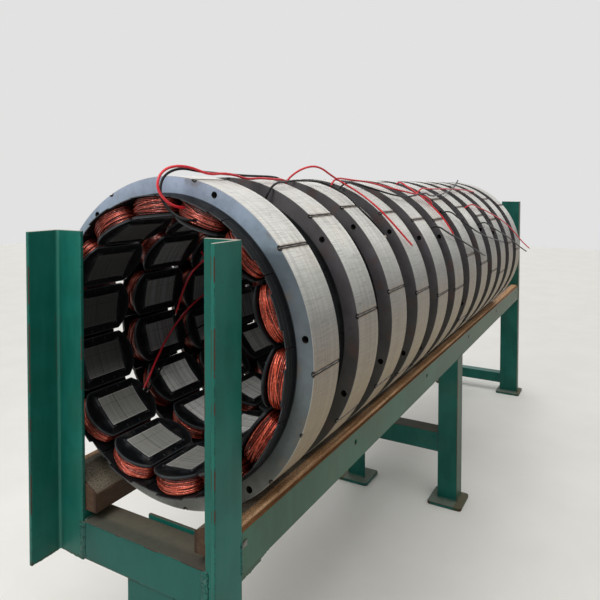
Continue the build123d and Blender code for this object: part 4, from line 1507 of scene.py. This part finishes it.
# %% Wood finish
DUST_AND_SHADOW_EDGE = 0.273
TIMBER_END = -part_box("timber_right")[0][1]
wood = Finish("rough_timber")
grain = wood.noise(1.0, 5.0, wood.stretched(90.0, 3.0, 90.0))
fibre = wood.noise(1.0, 3.0, wood.stretched(420.0, 40.0, 420.0))
stains = wood.noise(4.0, 4.0)
splinters = wood.noise(1.0, 4.0, wood.stretched(200.0, 60.0, 200.0), rough=0.7)
flecks = wood.noise(330.0, 3.0).between(0.50, 0.60)
aside = abs(wood.x)
up_facing = wood.facing_up()
# the edge of the grey seat, dust with the painted shadow of the rings, wanders, and comes nearer
# to the rings along the row
dust_and_shadow_reach = aside + wood.y * 0.004 + stains * 0.012
seat_dust_and_shadow = 1 - dust_and_shadow_reach.between(DUST_AND_SHADOW_EDGE - 0.003, DUST_AND_SHADOW_EDGE + 0.006)
dusty = seat_dust_and_shadow * (up_facing * 3.0).math("MINIMUM", 0.96)
inner = (1 - aside.between(0.172, 0.180)) * (1 - up_facing)
# the sawn ends have drunk oil and are darker than the sides
sawn_end = abs(wood.y).between(TIMBER_END - 0.006, TIMBER_END - 0.003)
wood_stops = [(0.3, (150, 112, 79)), (0.5, (196, 152, 110)), (0.7, (232, 192, 148))]
brown = wood.layered(
    wood.ramp(grain, wood_stops),
    (fibre.between(0.5, 0.7) * 0.3, (84, 60, 42)),
    (flecks * 0.6, (72, 52, 38)),
    (splinters.between(0.58, 0.68) * 0.5, (60, 45, 35)),
    (stains.between(0.5, 0.7) * 0.35, (92, 70, 52)),
    # grey dust and the painted shadow of the rings on the seat
    (dusty, wood.mix(flecks, srgb(98, 92, 79), srgb(58, 54, 46))),
    (inner * 0.93, (48, 34, 25)),
    (sawn_end * 0.93, (50, 32, 21)),
)
wood_material = wood.surface(
    brown, 0.8, height=grain * 0.5 + fibre * 0.4 + splinters * 0.6, depth=0.003,
    Specular_IOR_Level=0.3,
)
for side in ("left", "right"):
    rounded_copy(f"timber_{side}", wood_material, outer=0.003)
print("two bearers")

# %% [markdown]
# ## Wire insulation
#
# The leads' insulation is soft rubber: a clear, slightly glossy red and a duller
# black, both a little dusty from handling. The cut ends show tinned strands.

# %% Insulation finishes
def insulation(name, clean, dusty, gloss):
    """A soft sleeve in one colour, with some dust on it."""
    sleeve = Finish(name)
    film = sleeve.noise(70.0, 4.0).between(0.45, 0.8)
    colour = sleeve.mix(film * 0.5, clean, dusty)
    return sleeve.surface(
        colour, 0.34 + film * 0.2, height=film, depth=0.0002, Specular_IOR_Level=gloss
    )


red_material = insulation("red_sleeve", srgb(206, 34, 46), srgb(176, 48, 52), 0.5)
black_material = insulation("black_sleeve", srgb(14, 14, 16), srgb(26, 26, 26), 0.2)
for name, lead in leads.items():
    lead.data.materials.append(red_material if name.startswith("red") else black_material)
tinned = Finish("tinned_strands")
twist = tinned.noise(700.0, 2.0)
tin_material = tinned.surface(
    tinned.mix(twist, srgb(120, 108, 98), srgb(196, 188, 180)), 0.3 + twist * 0.2, 0.7,
    height=twist, depth=0.0003,
)
for tip in tips.values():
    tip.data.materials.append(tin_material)
print("insulation on", len(leads), "leads and tin on", len(tips), "tips")

# %% [markdown]
# ## Floor, backdrop and light
#
# The part is shown on a plain pale floor. The backdrop is bright for the camera, for
# reflections and through clear things, and dimmer in the light it sheds, so
# the steel isn't lit more than it should be. A broad sun shines down as skylights
# do, a weaker one comes in low from behind, and a flat lamp before the row fades
# along it as a window's light does.

# %% Floor and light
FLOOR_REACH = 14
# strength of the backdrop in the light it sheds, and where it is seen
SHED, SHOWN = 0.30, 0.76
floor_finish = Finish("pale_floor")
floor_material = floor_finish.surface(
    floor_finish.mix(
        floor_finish.noise(2.5, 4.0).between(0.3, 0.7), srgb(229, 227, 221), srgb(233, 231, 226)
    ),
    0.7,
)
floor_shape = Shape()
reach = (-FLOOR_REACH, FLOOR_REACH)
floor_shape.add([(x, y, 0) for x, y in corners(*reach, *reach)], [[0, 1, 2, 3]])
floor_shape.piece("studio_floor", floor_material, smooth=False)

world = bpy.data.worlds.new("studio_world")
bpy.context.scene.world = world
sky = Finish("studio_sky", world)
seen = sky.make("LightPath", outlet="Is Camera Ray")
for ray in ("Is Glossy Ray", "Is Transmission Ray"):
    seen = seen.math("MAXIMUM", sky.make("LightPath", outlet=ray))
white = {"Color": (1.0, 1.0, 1.0, 1.0), "Strength": SHED + seen * (SHOWN - SHED)}
sky.make_output(sky.make("Background", inputs=white), "World")


def soft_sun(name, aim, spread, strength):
    """Even light from one direction, soft as from a row of roof windows."""
    data = bpy.data.lights.new(name, "SUN")
    data.energy = strength
    data.angle = radians(spread)
    made = into_scene(name, data)
    made.rotation_euler = Vector(aim).to_track_quat("-Z", "Y").to_euler()


def window_lamp(name, place, target, width, height, watts):
    """A flat lamp near the row, which fades with distance as a window does."""
    data = bpy.data.lights.new(name, "AREA")
    data.shape = "RECTANGLE"
    data.size = width
    data.size_y = height
    data.energy = watts
    made = into_scene(name, data)
    made.location = place
    made.rotation_euler = (Vector(target) - Vector(place)).to_track_quat("-Z", "Y").to_euler()
    made.visible_camera = False


soft_sun("skylight", (-0.2, 0.15, -1.0), 60, 1.75)
soft_sun("rear_fill", (0.6, -0.7, -0.3), 60, 0.5)
window_lamp("front_window", (-0.3, -3.9, 3.2), (0.0, -1.8, 1.2), 1.3, 0.9, 50.0)
bpy.context.scene.view_settings.view_transform = "Standard"
print("floor and light are set")
